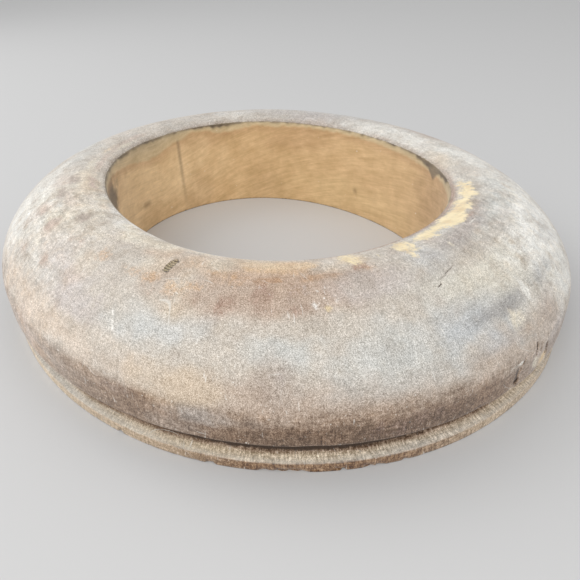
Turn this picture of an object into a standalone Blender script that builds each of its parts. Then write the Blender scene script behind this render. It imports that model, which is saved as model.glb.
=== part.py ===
"""Brim block for hat making.

An oval wooden ring, carved from a blank of two boards that are glued edge to edge.
The joint runs down the long axis of the oval, and two hidden dowels cross it at each end.
Metres, +Z up. X is the long axis with the back of the hat at +X, and Z = 0 is the face it stands on.
"""

import math

import bmesh
import bpy

# Opening for the head
OPENING_LENGTH = 0.195
OPENING_WIDTH = 0.161
OPENING_FULLNESS = 0.040  # how far the oval swells towards its four corners
OPENING_TAPER = 0.033  # how much wider the back of the opening is than its middle

# Brim, from the opening to the wall
END_BRIM_WIDTH = 0.060
SIDE_BRIM_WIDTH = 0.0565
OUTLINE_FULLNESS = 0.021

# Heights of the ring's features
LIP_HEIGHT = 0.0048
GROOVE_HEIGHT = 0.0100
WALL_HEIGHT = 0.0100
RIM_HEIGHT = 0.0557

# Dome from the rim to the wall
DOME_CROWN_REACH = 0.0240
DOME_CROWN_RISE = 0.0112
DOME_SHOULDER_RISE = 0.0157
RIM_BEVEL = 0.0012

# Groove for the cord, and the lip below it
GROOVE_DEPTH = 0.0070
LIP_SETBACK = 0.0012

# Joint between the boards
JOINT_GAP = 0.0003
DOWEL_DIAMETER = 0.0100
DOWEL_LENGTH = 0.0500
DOWEL_CHAMFER = 0.0010
DOWEL_CLEARANCE = 0.0003
DOWEL_END_ROOM = 0.0015
DOWEL_AXIS_HEIGHT = 0.0290
DOWEL_FROM_OPENING = 0.0170
DOWEL_SPACING = 0.0230

# Fineness of the facets
BOARD_STATIONS = 48
DOME_STEPS = 14
GROOVE_STEPS = 8
DOWEL_SIDES = 24
SMOOTH_ANGLE = math.radians(32.0)

WALL_BOTTOM = LIP_HEIGHT + GROOVE_HEIGHT
WALL_TOP = WALL_BOTTOM + WALL_HEIGHT


def clear_scene():
    """Remove every object of the open scene."""
    for obj in list(bpy.data.objects):
        bpy.data.objects.remove(obj, do_unlink=True)


def make_material(name, colour, roughness):
    """Return a Principled material of one colour."""
    material = bpy.data.materials.new(name)
    material.use_nodes = True
    shader = material.node_tree.nodes["Principled BSDF"]
    shader.inputs["Base Color"].default_value = (*colour, 1.0)
    shader.inputs["Roughness"].default_value = roughness
    shader.inputs["Metallic"].default_value = 0.0
    return material


def oval_point(length, width, fullness, taper, angle):
    """Return the point of an oval at an angle: fullness swells its corners, taper widens its back."""
    x = 0.5 * length * math.cos(angle) * (1.0 + fullness * math.sin(angle) ** 2)
    y = 0.5 * width * math.sin(angle) * (1.0 + fullness * math.cos(angle) ** 2)
    return x, y * (1.0 + taper * math.cos(angle))


def opening_point(angle):
    """Return the point of the opening's wall at an angle."""
    return oval_point(OPENING_LENGTH, OPENING_WIDTH, OPENING_FULLNESS, OPENING_TAPER, angle)


def outline_point(angle, inset):
    """Return the point of the block's outline at an angle, set in by a distance."""
    length = OPENING_LENGTH + 2.0 * (END_BRIM_WIDTH - inset)
    width = OPENING_WIDTH + 2.0 * (SIDE_BRIM_WIDTH - inset)
    return oval_point(length, width, OUTLINE_FULLNESS, 0.0, angle)


def dome_profile():
    """Return (share of the brim, inset, height) from the rim to the top of the wall."""
    crown_share = DOME_CROWN_REACH / END_BRIM_WIDTH
    bevel_share = RIM_BEVEL / END_BRIM_WIDTH
    heights = (RIM_HEIGHT, RIM_HEIGHT + DOME_CROWN_RISE, WALL_TOP + DOME_SHOULDER_RISE, WALL_TOP)
    shares = (bevel_share, crown_share, 1.0, 1.0)
    profile = []
    for step in range(DOME_STEPS + 1):
        u = step / DOME_STEPS
        weights = ((1 - u) ** 3, 3 * u * (1 - u) ** 2, 3 * u * u * (1 - u), u ** 3)
        share = sum(w * s for w, s in zip(weights, shares))
        height = sum(w * h for w, h in zip(weights, heights))
        profile.append((share, 0.0, height))
    return profile


def groove_profile():
    """Return (share, inset, height) of the groove, a half oval from the wall down to the lip."""
    middle = LIP_HEIGHT + 0.5 * GROOVE_HEIGHT
    profile = []
    for step in range(GROOVE_STEPS + 1):
        turn = math.pi * step / GROOVE_STEPS
        inset = LIP_SETBACK * step / GROOVE_STEPS + GROOVE_DEPTH * math.sin(turn)
        profile.append((1.0, inset, middle + 0.5 * GROOVE_HEIGHT * math.cos(turn)))
    return profile


def board_profile():
    """Return the section of the ring, up the opening's wall, over the dome and down to the lip."""
    inner_wall = [(0.0, 0.0, 0.0), (0.0, 0.0, RIM_HEIGHT - RIM_BEVEL)]
    lip_foot = [(1.0, LIP_SETBACK, 0.0)]
    return inner_wall + dome_profile() + groove_profile() + lip_foot


def ring_point(angle, share, inset):
    """Return the plan position a share of the way from the opening to the outline."""
    inner_x, inner_y = opening_point(angle)
    outer_x, outer_y = outline_point(angle, inset)
    return inner_x + share * (outer_x - inner_x), inner_y + share * (outer_y - inner_y)


def lofted_mesh(name, loops):
    """Return the closed mesh of a skin over a row of loops, with a flat cap at each end."""
    mesh_maker = bmesh.new()
    rows = [[mesh_maker.verts.new(point) for point in loop] for loop in loops]
    for near, far in zip(rows, rows[1:]):
        for i in range(len(near)):
            j = (i + 1) % len(near)
            mesh_maker.faces.new((near[i], near[j], far[j], far[i]))
    mesh_maker.faces.new(rows[0][::-1])
    mesh_maker.faces.new(rows[-1])
    bmesh.ops.recalc_face_normals(mesh_maker, faces=mesh_maker.faces[:])
    mesh = bpy.data.meshes.new(name)
    mesh_maker.to_mesh(mesh)
    mesh_maker.free()
    return mesh


def board_mesh(name, start):
    """Return the mesh of half the ring, which sweeps half a turn from a start angle."""
    sections = []
    for station in range(BOARD_STATIONS + 1):
        angle = start + math.pi * station / BOARD_STATIONS
        on_joint = station in (0, BOARD_STATIONS)
        section = []
        for share, inset, height in board_profile():
            x, y = ring_point(angle, share, inset)
            section.append((x, 0.0 if on_joint else y, height))
        sections.append(section)
    return lofted_mesh(name, sections)


def pin_mesh(name, radius, length, chamfer):
    """Return the mesh of a round pin along Y, centred on the origin, with chamfered ends."""
    half = 0.5 * length
    tip = radius - chamfer
    loops = []
    for ring_radius, y in ((tip, -half), (radius, chamfer - half), (radius, half - chamfer), (tip, half)):
        turns = [2.0 * math.pi * side / DOWEL_SIDES for side in range(DOWEL_SIDES)]
        loops.append([(ring_radius * math.cos(turn), y, ring_radius * math.sin(turn)) for turn in turns])
    return lofted_mesh(name, loops)


def add_object(name, mesh, material, location=(0.0, 0.0, 0.0)):
    """Add an object of a mesh to the scene, smooth shaded up to the sharp angle."""
    obj = bpy.data.objects.new(name, mesh)
    obj.location = location
    bpy.context.scene.collection.objects.link(obj)
    if material is not None:
        mesh.materials.append(material)
    mesh.shade_smooth()
    mesh.set_sharp_from_angle(angle=SMOOTH_ANGLE)
    return obj


def dowel_places():
    """Return each dowel's name and the place of its middle."""
    inner = 0.5 * OPENING_LENGTH + DOWEL_FROM_OPENING
    outer = inner + DOWEL_SPACING
    places = {}
    for end, side in (("front", -1.0), ("back", 1.0)):
        for row, distance in (("inner", inner), ("outer", outer)):
            places[f"{end}_{row}_dowel"] = (side * distance, 0.0, DOWEL_AXIS_HEIGHT)
    return places


def add_dowel_holes(board, places):
    """Cut the blind holes for the dowels into the joint faces of a board."""
    radius = 0.5 * DOWEL_DIAMETER + DOWEL_CLEARANCE
    length = DOWEL_LENGTH + 2.0 * DOWEL_END_ROOM
    for name, place in places.items():
        cutter_name = f"{board.name}_hole_for_{name}"
        hole = pin_mesh(cutter_name, radius, length, DOWEL_CHAMFER)
        cutter = add_object(cutter_name, hole, None, place)
        cutter.hide_render = True
        cutter.display_type = "WIRE"
        cut = board.modifiers.new(name=cutter_name, type="BOOLEAN")
        cut.operation = "DIFFERENCE"
        cut.solver = "EXACT"
        cut.object = cutter


def build_boards(places):
    """Build the two halves of the ring, each half a joint gap from the long axis."""
    timber = make_material("carved_timber", (0.42, 0.33, 0.26), 0.75)
    for name, start, side in (("right_board", 0.0, 1.0), ("left_board", math.pi, -1.0)):
        board = add_object(name, board_mesh(name, start), timber, (0.0, side * 0.5 * JOINT_GAP, 0.0))
        add_dowel_holes(board, places)


def build_dowels(places):
    """Build the hidden dowels that hold the joint."""
    dowel_wood = make_material("dowel_wood", (0.55, 0.38, 0.20), 0.6)
    mesh = pin_mesh("dowel", 0.5 * DOWEL_DIAMETER, DOWEL_LENGTH, DOWEL_CHAMFER)
    mesh.materials.append(dowel_wood)
    for name, place in places.items():
        add_object(name, mesh, None, place)


def main():
    """Build the brim block."""
    clear_scene()
    places = dowel_places()
    build_boards(places)
    build_dowels(places)


main()
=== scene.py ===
"""Looks of an oval brim block for hat making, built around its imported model.

The block is a ring, carved from two boards that are glued edge to edge along X.
Sizes are in millimetres until a mesh is made, and angles in degrees from +X, counter-clockwise from
above. The run of a point is its distance from the rim of the opening, measured along the section:
negative down the opening's wall, positive over the dome, the wall, the groove and the lip.
"""

import logging
import math
from dataclasses import dataclass, field
from enum import Enum
from typing import Iterable, Optional, Sequence, Union

import bmesh
import bpy
import numpy as np
from mathutils import Matrix, Vector
from mathutils.geometry import delaunay_2d_cdt


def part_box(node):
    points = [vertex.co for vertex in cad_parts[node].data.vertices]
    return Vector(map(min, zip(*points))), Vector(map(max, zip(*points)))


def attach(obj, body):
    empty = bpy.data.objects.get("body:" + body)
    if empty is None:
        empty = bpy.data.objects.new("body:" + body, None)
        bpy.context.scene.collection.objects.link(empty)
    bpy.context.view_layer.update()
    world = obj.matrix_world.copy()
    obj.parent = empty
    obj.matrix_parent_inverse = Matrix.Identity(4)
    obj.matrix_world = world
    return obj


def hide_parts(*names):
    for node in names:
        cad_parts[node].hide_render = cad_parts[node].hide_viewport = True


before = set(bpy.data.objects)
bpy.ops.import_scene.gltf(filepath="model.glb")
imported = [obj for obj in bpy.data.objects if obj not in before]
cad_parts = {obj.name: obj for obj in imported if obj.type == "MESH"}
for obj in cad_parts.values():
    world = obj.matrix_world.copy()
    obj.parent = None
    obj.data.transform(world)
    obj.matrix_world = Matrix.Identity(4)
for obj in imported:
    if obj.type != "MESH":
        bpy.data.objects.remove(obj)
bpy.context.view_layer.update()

LOG = logging.getLogger("brim_block")
MM = 0.001
NOISE_SEED = 7
SHARP_ANGLE = math.radians(50.0)

Colour = tuple[float, float, float]
Pairs = tuple[tuple[float, float], ...]
Socket = bpy.types.NodeSocket
Feed = Union[Socket, float, Sequence[float]]
Values = Union[float, np.ndarray]


def linear(red: int, green: int, blue: int) -> Colour:
    """Return the linear colour of a colour written as it shows on screen.

    Args:
        red: red from 0 to 255.
        green: green from 0 to 255.
        blue: blue from 0 to 255.

    Returns:
        The three linear shares.
    """
    shares = [channel / 255.0 for channel in (red, green, blue)]
    return tuple(s / 12.92 if s <= 0.04045 else ((s + 0.055) / 1.055) ** 2.4 for s in shares)


def ease(low: Values, high: Values, values: Values) -> Values:
    """Return a smooth step from 0 at low to 1 at high, where low may be the larger one."""
    t = np.clip((values - low) / (high - low), 0.0, 1.0)
    return t * t * (3.0 - 2.0 * t)


def wrapped(angle: Values) -> Values:
    """Return angles as they lie from -180 to 180 degrees."""
    return (angle + 180.0) % 360.0 - 180.0


class Cloud:
    """Smooth noise in space from a seeded lattice, between -1 and 1."""

    CELLS = 32
    SHIFT = 11.3  # moves the lattice's own planes off the middle of the block

    def __init__(self, seed: int) -> None:
        """Fill the lattice.

        Args:
            seed: number that fixes the lattice.
        """
        self._lattice = np.random.default_rng(seed).random((self.CELLS,) * 3) * 2.0 - 1.0

    def at(self, places: np.ndarray, size: float, stretch: Sequence[float] = (1.0, 1.0, 1.0)) -> np.ndarray:
        """Return the noise at places.

        Args:
            places: n by 3 array in millimetres.
            size: width of one lump in millimetres.
            stretch: how much longer the lumps are along each axis.

        Returns:
            One value for each place.
        """
        scaled = places / (size * np.asarray(stretch)) + self.SHIFT
        cell = np.floor(scaled).astype(int)
        part = scaled - cell
        part = part * part * (3.0 - 2.0 * part)
        total = np.zeros(len(places))
        for corner in range(8):
            step = np.array([(corner >> axis) & 1 for axis in range(3)])
            weight = np.prod(np.where(step == 1, part, 1.0 - part), axis=1)
            index = (cell + step) % self.CELLS
            total += weight * self._lattice[index[:, 0], index[:, 1], index[:, 2]]
        return total


@dataclass(frozen=True)
class BlockSizes:
    """Sizes of the carved ring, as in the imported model."""

    opening_length: float = 195.0
    opening_width: float = 161.0
    opening_fullness: float = 0.040
    opening_taper: float = 0.033
    end_brim: float = 60.0
    side_brim: float = 56.5
    outline_fullness: float = 0.021
    lip_height: float = 4.8
    groove_height: float = 10.0
    wall_height: float = 10.0
    rim_height: float = 55.7
    crown_reach: float = 24.0
    crown_rise: float = 11.2
    shoulder_rise: float = 15.7
    rim_bevel: float = 1.2
    groove_depth: float = 7.0
    lip_setback: float = 1.2
    joint_gap: float = 0.3
    joint_ends: Pairs = ((-97.5, -4.2), (157.5, 0.7))
    joint_fan: float = 18.0  # degrees over which the stations lean towards the joint

    def joint(self, x: Values) -> Values:
        """Return the y of the glue line at an x: it runs a degree off the long axis."""
        (x0, y0), (x1, y1) = self.joint_ends
        return y0 + (x - x0) * (y1 - y0) / (x1 - x0)

    def joint_turn(self, angle: np.ndarray, share: np.ndarray) -> np.ndarray:
        """Return by how many degrees the stations near the joint move, so that the last one lies on it."""
        off = (angle + 90.0) % 180.0 - 90.0
        end = np.where(np.cos(np.radians(angle)) < 0.0, -1.0, 1.0)
        reach_x = end * (0.5 * self.opening_length + share * self.end_brim)
        reach_y = 0.5 * self.opening_width + share * self.side_brim
        turn = np.degrees(np.arcsin(self.joint(reach_x) / reach_y)) * end
        return turn * ease(self.joint_fan, 0.0, np.abs(off))

    @property
    def wall_foot(self) -> float:
        """Return the height of the wall's lower edge."""
        return self.lip_height + self.groove_height

    @property
    def wall_top(self) -> float:
        """Return the height where the wall turns into the dome."""
        return self.wall_foot + self.wall_height

    def plan(self, angle: np.ndarray, share: np.ndarray, inset: np.ndarray) -> tuple[np.ndarray, np.ndarray]:
        """Return plan places between the opening and the outline.

        Args:
            angle: angles in degrees.
            share: shares of the way from the opening to the outline.
            inset: distances that the outline is set in.

        Returns:
            The x and the y of each place.
        """
        turn = np.radians(angle)
        cos, sin = np.cos(turn), np.sin(turn)
        swell_x, swell_y = 1.0 + self.opening_fullness * sin ** 2, 1.0 + self.opening_fullness * cos ** 2
        inner_x = 0.5 * self.opening_length * cos * swell_x
        inner_y = 0.5 * self.opening_width * sin * swell_y * (1.0 + self.opening_taper * cos)
        half_length = 0.5 * self.opening_length + self.end_brim - inset
        half_width = 0.5 * self.opening_width + self.side_brim - inset
        outer_x = half_length * cos * (1.0 + self.outline_fullness * sin ** 2)
        outer_y = half_width * sin * (1.0 + self.outline_fullness * cos ** 2)
        return inner_x + share * (outer_x - inner_x), inner_y + share * (outer_y - inner_y)


class Section:
    """Section of the ring as a closed row of points, close together where it turns."""

    DOME_STEPS = 120
    GROOVE_STEPS = 60
    DENSE_STEP = 0.1
    EDGE_SOFTNESS = 0.36
    PLAIN_STEP = 1.5
    BASE_STEP = 6.0
    BASE_MARGIN = 2.0
    DEEP_STEP = 3.0
    BAND_STEP = 0.8
    BAND_DEPTH = 14.0
    TURN_WEIGHT = 2.2
    TURN_LIMIT = 1.5

    def __init__(self, sizes: BlockSizes) -> None:
        """Draw the section, soften its edges and choose its points.

        Args:
            sizes: sizes of the ring.
        """
        reach, inset, height, marks = self._draw(sizes)
        length = np.concatenate([[0.0], np.cumsum(np.hypot(np.diff(reach - inset), np.diff(height)))])
        rim, wall_foot, lip_top, lip_foot = (length[i] for i in marks)
        even = np.arange(0.0, length[-1], self.DENSE_STEP)
        rows = [self._soften(np.interp(even, length, row)) for row in (reach, inset, height)]
        chosen = self._choose(even, rows[0] - rows[1], rows[2], rim, lip_foot)
        reach, self.inset, height = (np.interp(chosen, even, row) for row in rows)
        self.share = reach / sizes.end_brim
        self.height = np.maximum(height, 0.0)
        self.run = chosen - rim
        self.wall_foot, self.lip_top, self.lip_foot = wall_foot - rim, lip_top - rim, lip_foot - rim

    def _draw(self, sizes: BlockSizes) -> tuple[np.ndarray, np.ndarray, np.ndarray, list[int]]:
        """Return the section's corner points and the places of its marks among them."""
        rows = [(0.0, 0.0, 0.0), (0.0, 0.0, sizes.rim_height - sizes.rim_bevel)]
        marks = [len(rows)]
        heights = (sizes.rim_height, sizes.rim_height + sizes.crown_rise,
                   sizes.wall_top + sizes.shoulder_rise, sizes.wall_top)
        reaches = (sizes.rim_bevel, sizes.crown_reach, sizes.end_brim, sizes.end_brim)
        for u in np.linspace(0.0, 1.0, self.DOME_STEPS + 1):
            weights = ((1 - u) ** 3, 3 * u * (1 - u) ** 2, 3 * u * u * (1 - u), u ** 3)
            reach, height = (sum(w * v for w, v in zip(weights, values)) for values in (reaches, heights))
            rows.append((reach, 0.0, height))
        middle = sizes.lip_height + 0.5 * sizes.groove_height
        marks.append(len(rows))
        for share in np.linspace(0.0, 1.0, self.GROOVE_STEPS + 1):
            turn = math.pi * share
            rows.append((sizes.end_brim, sizes.lip_setback * share + sizes.groove_depth * math.sin(turn),
                         middle + 0.5 * sizes.groove_height * math.cos(turn)))
        marks.append(len(rows) - 1)
        rows.append((sizes.end_brim, sizes.lip_setback, 0.0))
        marks.append(len(rows) - 1)
        rows.append((0.0, 0.0, 0.0))
        reach, inset, height = np.array(rows).T
        return reach, inset, height, marks

    def _soften(self, row: np.ndarray) -> np.ndarray:
        """Return a closed row after a blur that rounds its corners."""
        half = int(4.0 * self.EDGE_SOFTNESS / self.DENSE_STEP)
        offsets = np.arange(-half, half + 1) * self.DENSE_STEP
        kernel = np.exp(-0.5 * (offsets / self.EDGE_SOFTNESS) ** 2)
        padded = np.concatenate([row[-half:], row, row[:half]])
        return np.convolve(padded, kernel / kernel.sum(), mode="valid")

    def _choose(self, even: np.ndarray, across: np.ndarray, height: np.ndarray, rim: float,
                lip_foot: float) -> np.ndarray:
        """Return the lengths along the section at which its points lie.

        Args:
            even: evenly spaced lengths along the section.
            across: how far the section has come from the opening at each of them.
            height: its height at each of them.
            rim: length at the rim of the opening.
            lip_foot: length at the foot of the lip.

        Returns:
            The chosen lengths, in order.
        """
        bearing = np.unwrap(np.arctan2(np.gradient(height), np.gradient(across)))
        bend = np.abs(np.gradient(bearing)) / self.DENSE_STEP
        on_base = (even > lip_foot + self.BASE_MARGIN) & (even < even[-1] - self.BASE_MARGIN)
        spacing = np.where(on_base, self.BASE_STEP, self.PLAIN_STEP)
        spacing = np.where(even < rim - self.BAND_DEPTH, self.DEEP_STEP, spacing)
        spacing = np.where((even >= rim - self.BAND_DEPTH) & (even < rim), self.BAND_STEP, spacing)
        density = 1.0 / spacing + self.TURN_WEIGHT * np.minimum(bend, self.TURN_LIMIT)
        total = np.cumsum(density) * self.DENSE_STEP
        count = int(total[-1])
        return np.interp(np.arange(count) * total[-1] / count, total, even)


@dataclass
class Surface:
    """Where the points of a board lie on the ring, with the noise that its details share.

    The pace of a point is how many millimetres a degree is there, around the ring.
    """

    HOOP_RADIUS = 110.0
    COURSE_PACE = 1.6  # millimetres along a saw mark for each degree
    SAW_RISE = (  # angle around the opening, and how far a saw mark has risen there
        (35, 0), (80, 13), (100, 20), (130, 34), (155, 48), (175, 60), (195, 67), (215, 66), (235, 60),
        (260, 48), (330, 24))

    angle: np.ndarray
    run: np.ndarray
    pace: np.ndarray
    place: np.ndarray
    cloud: Cloud
    known: dict[tuple[float, ...], np.ndarray] = field(default_factory=dict)

    def turn(self) -> np.ndarray:
        """Return the angle of each point, from -180 to 180."""
        return wrapped(self.angle)

    def around(self, angle: float) -> np.ndarray:
        """Return the distance of each point from an angle, measured around the ring."""
        return wrapped(self.angle - angle) * self.pace

    def follow(self, pairs: Pairs) -> np.ndarray:
        """Return a value at each point that follows a row of (angle, value) pairs around the ring."""
        return np.interp(self.angle, *zip(*pairs), period=360.0)

    def noise(self, size: float, stretch: Sequence[float] = (1.0, 1.0, 1.0)) -> np.ndarray:
        """Return smooth noise at each point, with lumps of a size, worked out once for each size."""
        key = (size, *stretch)
        if key not in self.known:
            self.known[key] = self.cloud.at(self.place, size, stretch)
        return self.known[key]

    def hoop(self) -> np.ndarray:
        """Return each point's place on a straight cylinder, whose height is the run."""
        turn = np.radians(self.angle)
        return np.stack([self.HOOP_RADIUS * np.cos(turn), self.HOOP_RADIUS * np.sin(turn), self.run], axis=1)

    def course(self) -> np.ndarray:
        """Return each point's place along and across the saw's marks, which rise and fall round the ring."""
        across = self.run + self.follow(self.SAW_RISE)
        return np.stack([self.COURSE_PACE * self.angle, across, np.zeros(len(self.run))], axis=1)


@dataclass(frozen=True)
class Split:
    """Narrow crack in the wood from one place to another, deepest in its middle."""

    PACE = 150.0 * math.radians(1.0)  # millimetres for each degree near the outline

    start: tuple[float, float]
    end: tuple[float, float]
    width: float
    depth: float

    def dig(self, surface: Surface) -> np.ndarray:
        """Return the depth of the crack at each point."""
        middle = 0.5 * (self.start[0] + self.end[0])
        dx, dy = (self.end[0] - self.start[0]) * self.PACE, self.end[1] - self.start[1]
        length = math.hypot(dx, dy)
        a = surface.around(middle) + 0.5 * dx
        b = surface.run - self.start[1]
        share = (a * dx + b * dy) / length ** 2
        across = (a * dy - b * dx) / length + 0.25 * surface.noise(1.1)
        taper = ease(0.0, 0.25, share) * ease(1.0, 0.75, share)
        return self.depth * taper * ease(0.5 * self.width, 0.12 * self.width, np.abs(across))


@dataclass(frozen=True)
class Hollow:
    """Rounded dip or chip in the surface."""

    angle: float
    run: float
    around: float
    along: float
    depth: float
    ragged: float = 0.2

    def dig(self, surface: Surface) -> np.ndarray:
        """Return the depth of the dip at each point."""
        far = np.hypot(surface.around(self.angle) / self.around, (surface.run - self.run) / self.along)
        return self.depth * ease(1.0, 0.2, far + self.ragged * surface.noise(1.2))


@dataclass(frozen=True)
class ThreadPrint:
    """Long dent with ribs across it, as the thread of a bolt leaves."""

    angle: float = -59.6
    run: float = 18.2
    lean: float = -9.0
    length: float = 8.4
    width: float = 3.2
    depth: float = 0.7
    ribs: int = 6

    def _local(self, surface: Surface) -> tuple[np.ndarray, np.ndarray]:
        """Return each point's place along and across the dent, as shares of its half length and width."""
        turn = math.radians(self.lean)
        a, b = surface.around(self.angle), surface.run - self.run
        along = (b * math.cos(turn) + a * math.sin(turn)) / (0.5 * self.length)
        across = (a * math.cos(turn) - b * math.sin(turn)) / (0.5 * self.width)
        return along, across

    def dig(self, surface: Surface) -> np.ndarray:
        """Return the depth of the dent at each point."""
        along, across = self._local(surface)
        bowl = ease(1.0, 0.35, np.abs(across)) * ease(1.04, 0.80, np.abs(along))
        return self.depth * bowl * (1.0 - 0.55 * self._rib(along, across))

    def _rib(self, along: np.ndarray, across: np.ndarray) -> np.ndarray:
        """Return 1 on a rib and 0 between two of them."""
        return 0.5 + 0.5 * np.cos(along * self.ribs * math.pi + 1.5 * across)

    def dirt_and_shade(self, surface: Surface) -> np.ndarray:
        """Return how dark each point is, from grime and painted shade: darkest between the ribs and along the
        edge.
        """
        along, across = self._local(surface)
        end = np.maximum(np.abs(along) - 0.8, 0.0) / 0.28
        far = np.hypot(across, end) + 0.25 * surface.noise(0.8)
        edge = ease(0.60, 0.85, far) * ease(-1.6, 0.2, across + 0.8 * surface.noise(1.7))
        return ease(1.15, 0.95, far) * (0.10 + 0.76 * np.maximum(edge, 0.8 - 0.8 * self._rib(along, across)))


@dataclass(frozen=True)
class LipWear:
    """Broken and rubbed edges of the lip."""

    nick_depth: float = 0.9
    rough_from: float = -47.0
    rough_to: float = -22.0
    rough_fade: float = 8.0

    def dig(self, surface: Surface, section: Section) -> np.ndarray:
        """Return the depth that the lip's edges have lost at each point."""
        noise, fine = surface.noise(2.6, (1.0, 1.0, 0.6)), surface.noise(1.1)
        low = ease(2.6, 0.2, np.abs(surface.run - section.lip_foot))
        high = ease(1.6, 0.1, np.abs(surface.run - section.lip_top))
        rough = ease(self.rough_from - self.rough_fade, self.rough_from, surface.turn())
        rough = rough * ease(self.rough_to + self.rough_fade, self.rough_to, surface.turn())
        broken = ease(0.05, 0.55, noise + 0.35 * fine)
        chipped = ease(0.45, 0.75, surface.noise(4.4) + 0.3 * fine)
        loss = low * (0.05 + (0.04 + 0.3 * rough) * chipped + rough * broken) + high * (0.06 + 0.3 * chipped)
        return self.nick_depth * loss


@dataclass(frozen=True)
class Refinement:
    """Place where the mesh of a board gets a finer net."""

    angle: float
    run: float
    around: float
    along: float
    cuts: int

    def holds(self, angle: float, run: float, pace: float) -> bool:
        """Return whether a vertex lies in the place."""
        return abs(wrapped(angle - self.angle) * pace) <= self.around and abs(run - self.run) <= self.along


class Tone(Enum):
    """Colours of the size, the wood, the grime and the painted shade on the block, as they show on screen."""

    GREIGE = (196, 187, 175)
    DUSTY_PINK = (192, 171, 156)
    LAVENDER = (190, 181, 178)
    COOL_GREY = (195, 196, 192)
    BLUE_GREY = (184, 188, 192)
    CREAM = (220, 211, 192)
    CREAM_TAN = (218, 198, 168)
    ROSE_TAN = (216, 196, 176)
    CHALK = (226, 223, 215)
    DUST = (246, 243, 236)
    PALE_SAGE = (210, 209, 199)
    WARM_TAN = (200, 180, 154)
    TAN_BROWN = (174, 147, 126)
    BRIGHT_TAN = (214, 180, 138)
    ORANGE_TAN = (194, 160, 124)
    RUST_ORANGE = (176, 140, 106)
    RUST = (160, 130, 112)
    RED_BROWN = (150, 114, 98)
    DARK_RED = (112, 84, 70)
    TAUPE = (170, 155, 142)
    PURPLE_GREY = (162, 150, 144)
    SMOKE = (156, 153, 150)
    EARTH = (142, 115, 91)
    DARK_BROWN = (109, 84, 62)
    SHADOW_BROWN = (62, 45, 31)
    # near-black painted shade in the deep hole and under the wall's edge in the groove
    SHADE_BLACK = (26, 20, 16)
    STRAW = (244, 226, 184)
    STRAW_TAN = (222, 192, 146)
    LIP_BROWN = (130, 96, 62)
    PINE = (218, 184, 136)
    PINE_LIGHT = (238, 208, 162)
    PINE_PINK = (194, 156, 114)
    PINE_PALE = (222, 192, 142)
    PINE_BROWN = (176, 140, 98)
    OLIVE_GREY = (172, 158, 132)
    OLIVE_BROWN = (162, 148, 118)
    OLIVE_CREAM = (212, 192, 153)
    SMUDGE = (114, 99, 78)
    SMUDGE_DARK = (84, 71, 56)

    @property
    def colour(self) -> Colour:
        """Return the linear colour."""
        return linear(*self.value)


@dataclass(frozen=True)
class Patch:
    """Soft-edged area of a colour or of wear.

    The reaches are half its size around the ring and along the section. The lean turns it.
    """

    angle: float
    run: float
    around: float
    along: float
    strength: float = 1.0
    tone: Tone = Tone.GREIGE
    lean: float = 0.0
    blur: float = 0.8
    ragged: float = 0.5
    lump: float = 13.0

    @classmethod
    def rows(cls, *rows: tuple[Union[float, Tone], ...], **shared: float) -> tuple["Patch", ...]:
        """Return a patch for each row of values, which are in the order of the fields.

        Args:
            rows: the values of each patch.
            shared: values of other fields, the same for all of them.

        Returns:
            The patches in the same order.
        """
        return tuple(cls(*row, **shared) for row in rows)

    def weight(self, surface: Surface) -> np.ndarray:
        """Return how strongly the patch covers each point."""
        turn = math.radians(self.lean)
        a, b = surface.around(self.angle), surface.run - self.run
        p = (a * math.cos(turn) + b * math.sin(turn)) / self.around
        q = (b * math.cos(turn) - a * math.sin(turn)) / self.along
        layers = ((1.0, self.lump), (0.6, 0.45 * self.lump), (0.4, 0.2 * self.lump))
        far = np.hypot(p, q) + self.ragged * sum(share * surface.noise(size) for share, size in layers)
        return self.strength * ease(1.0 + self.blur, 1.0 - self.blur, far)


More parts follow.
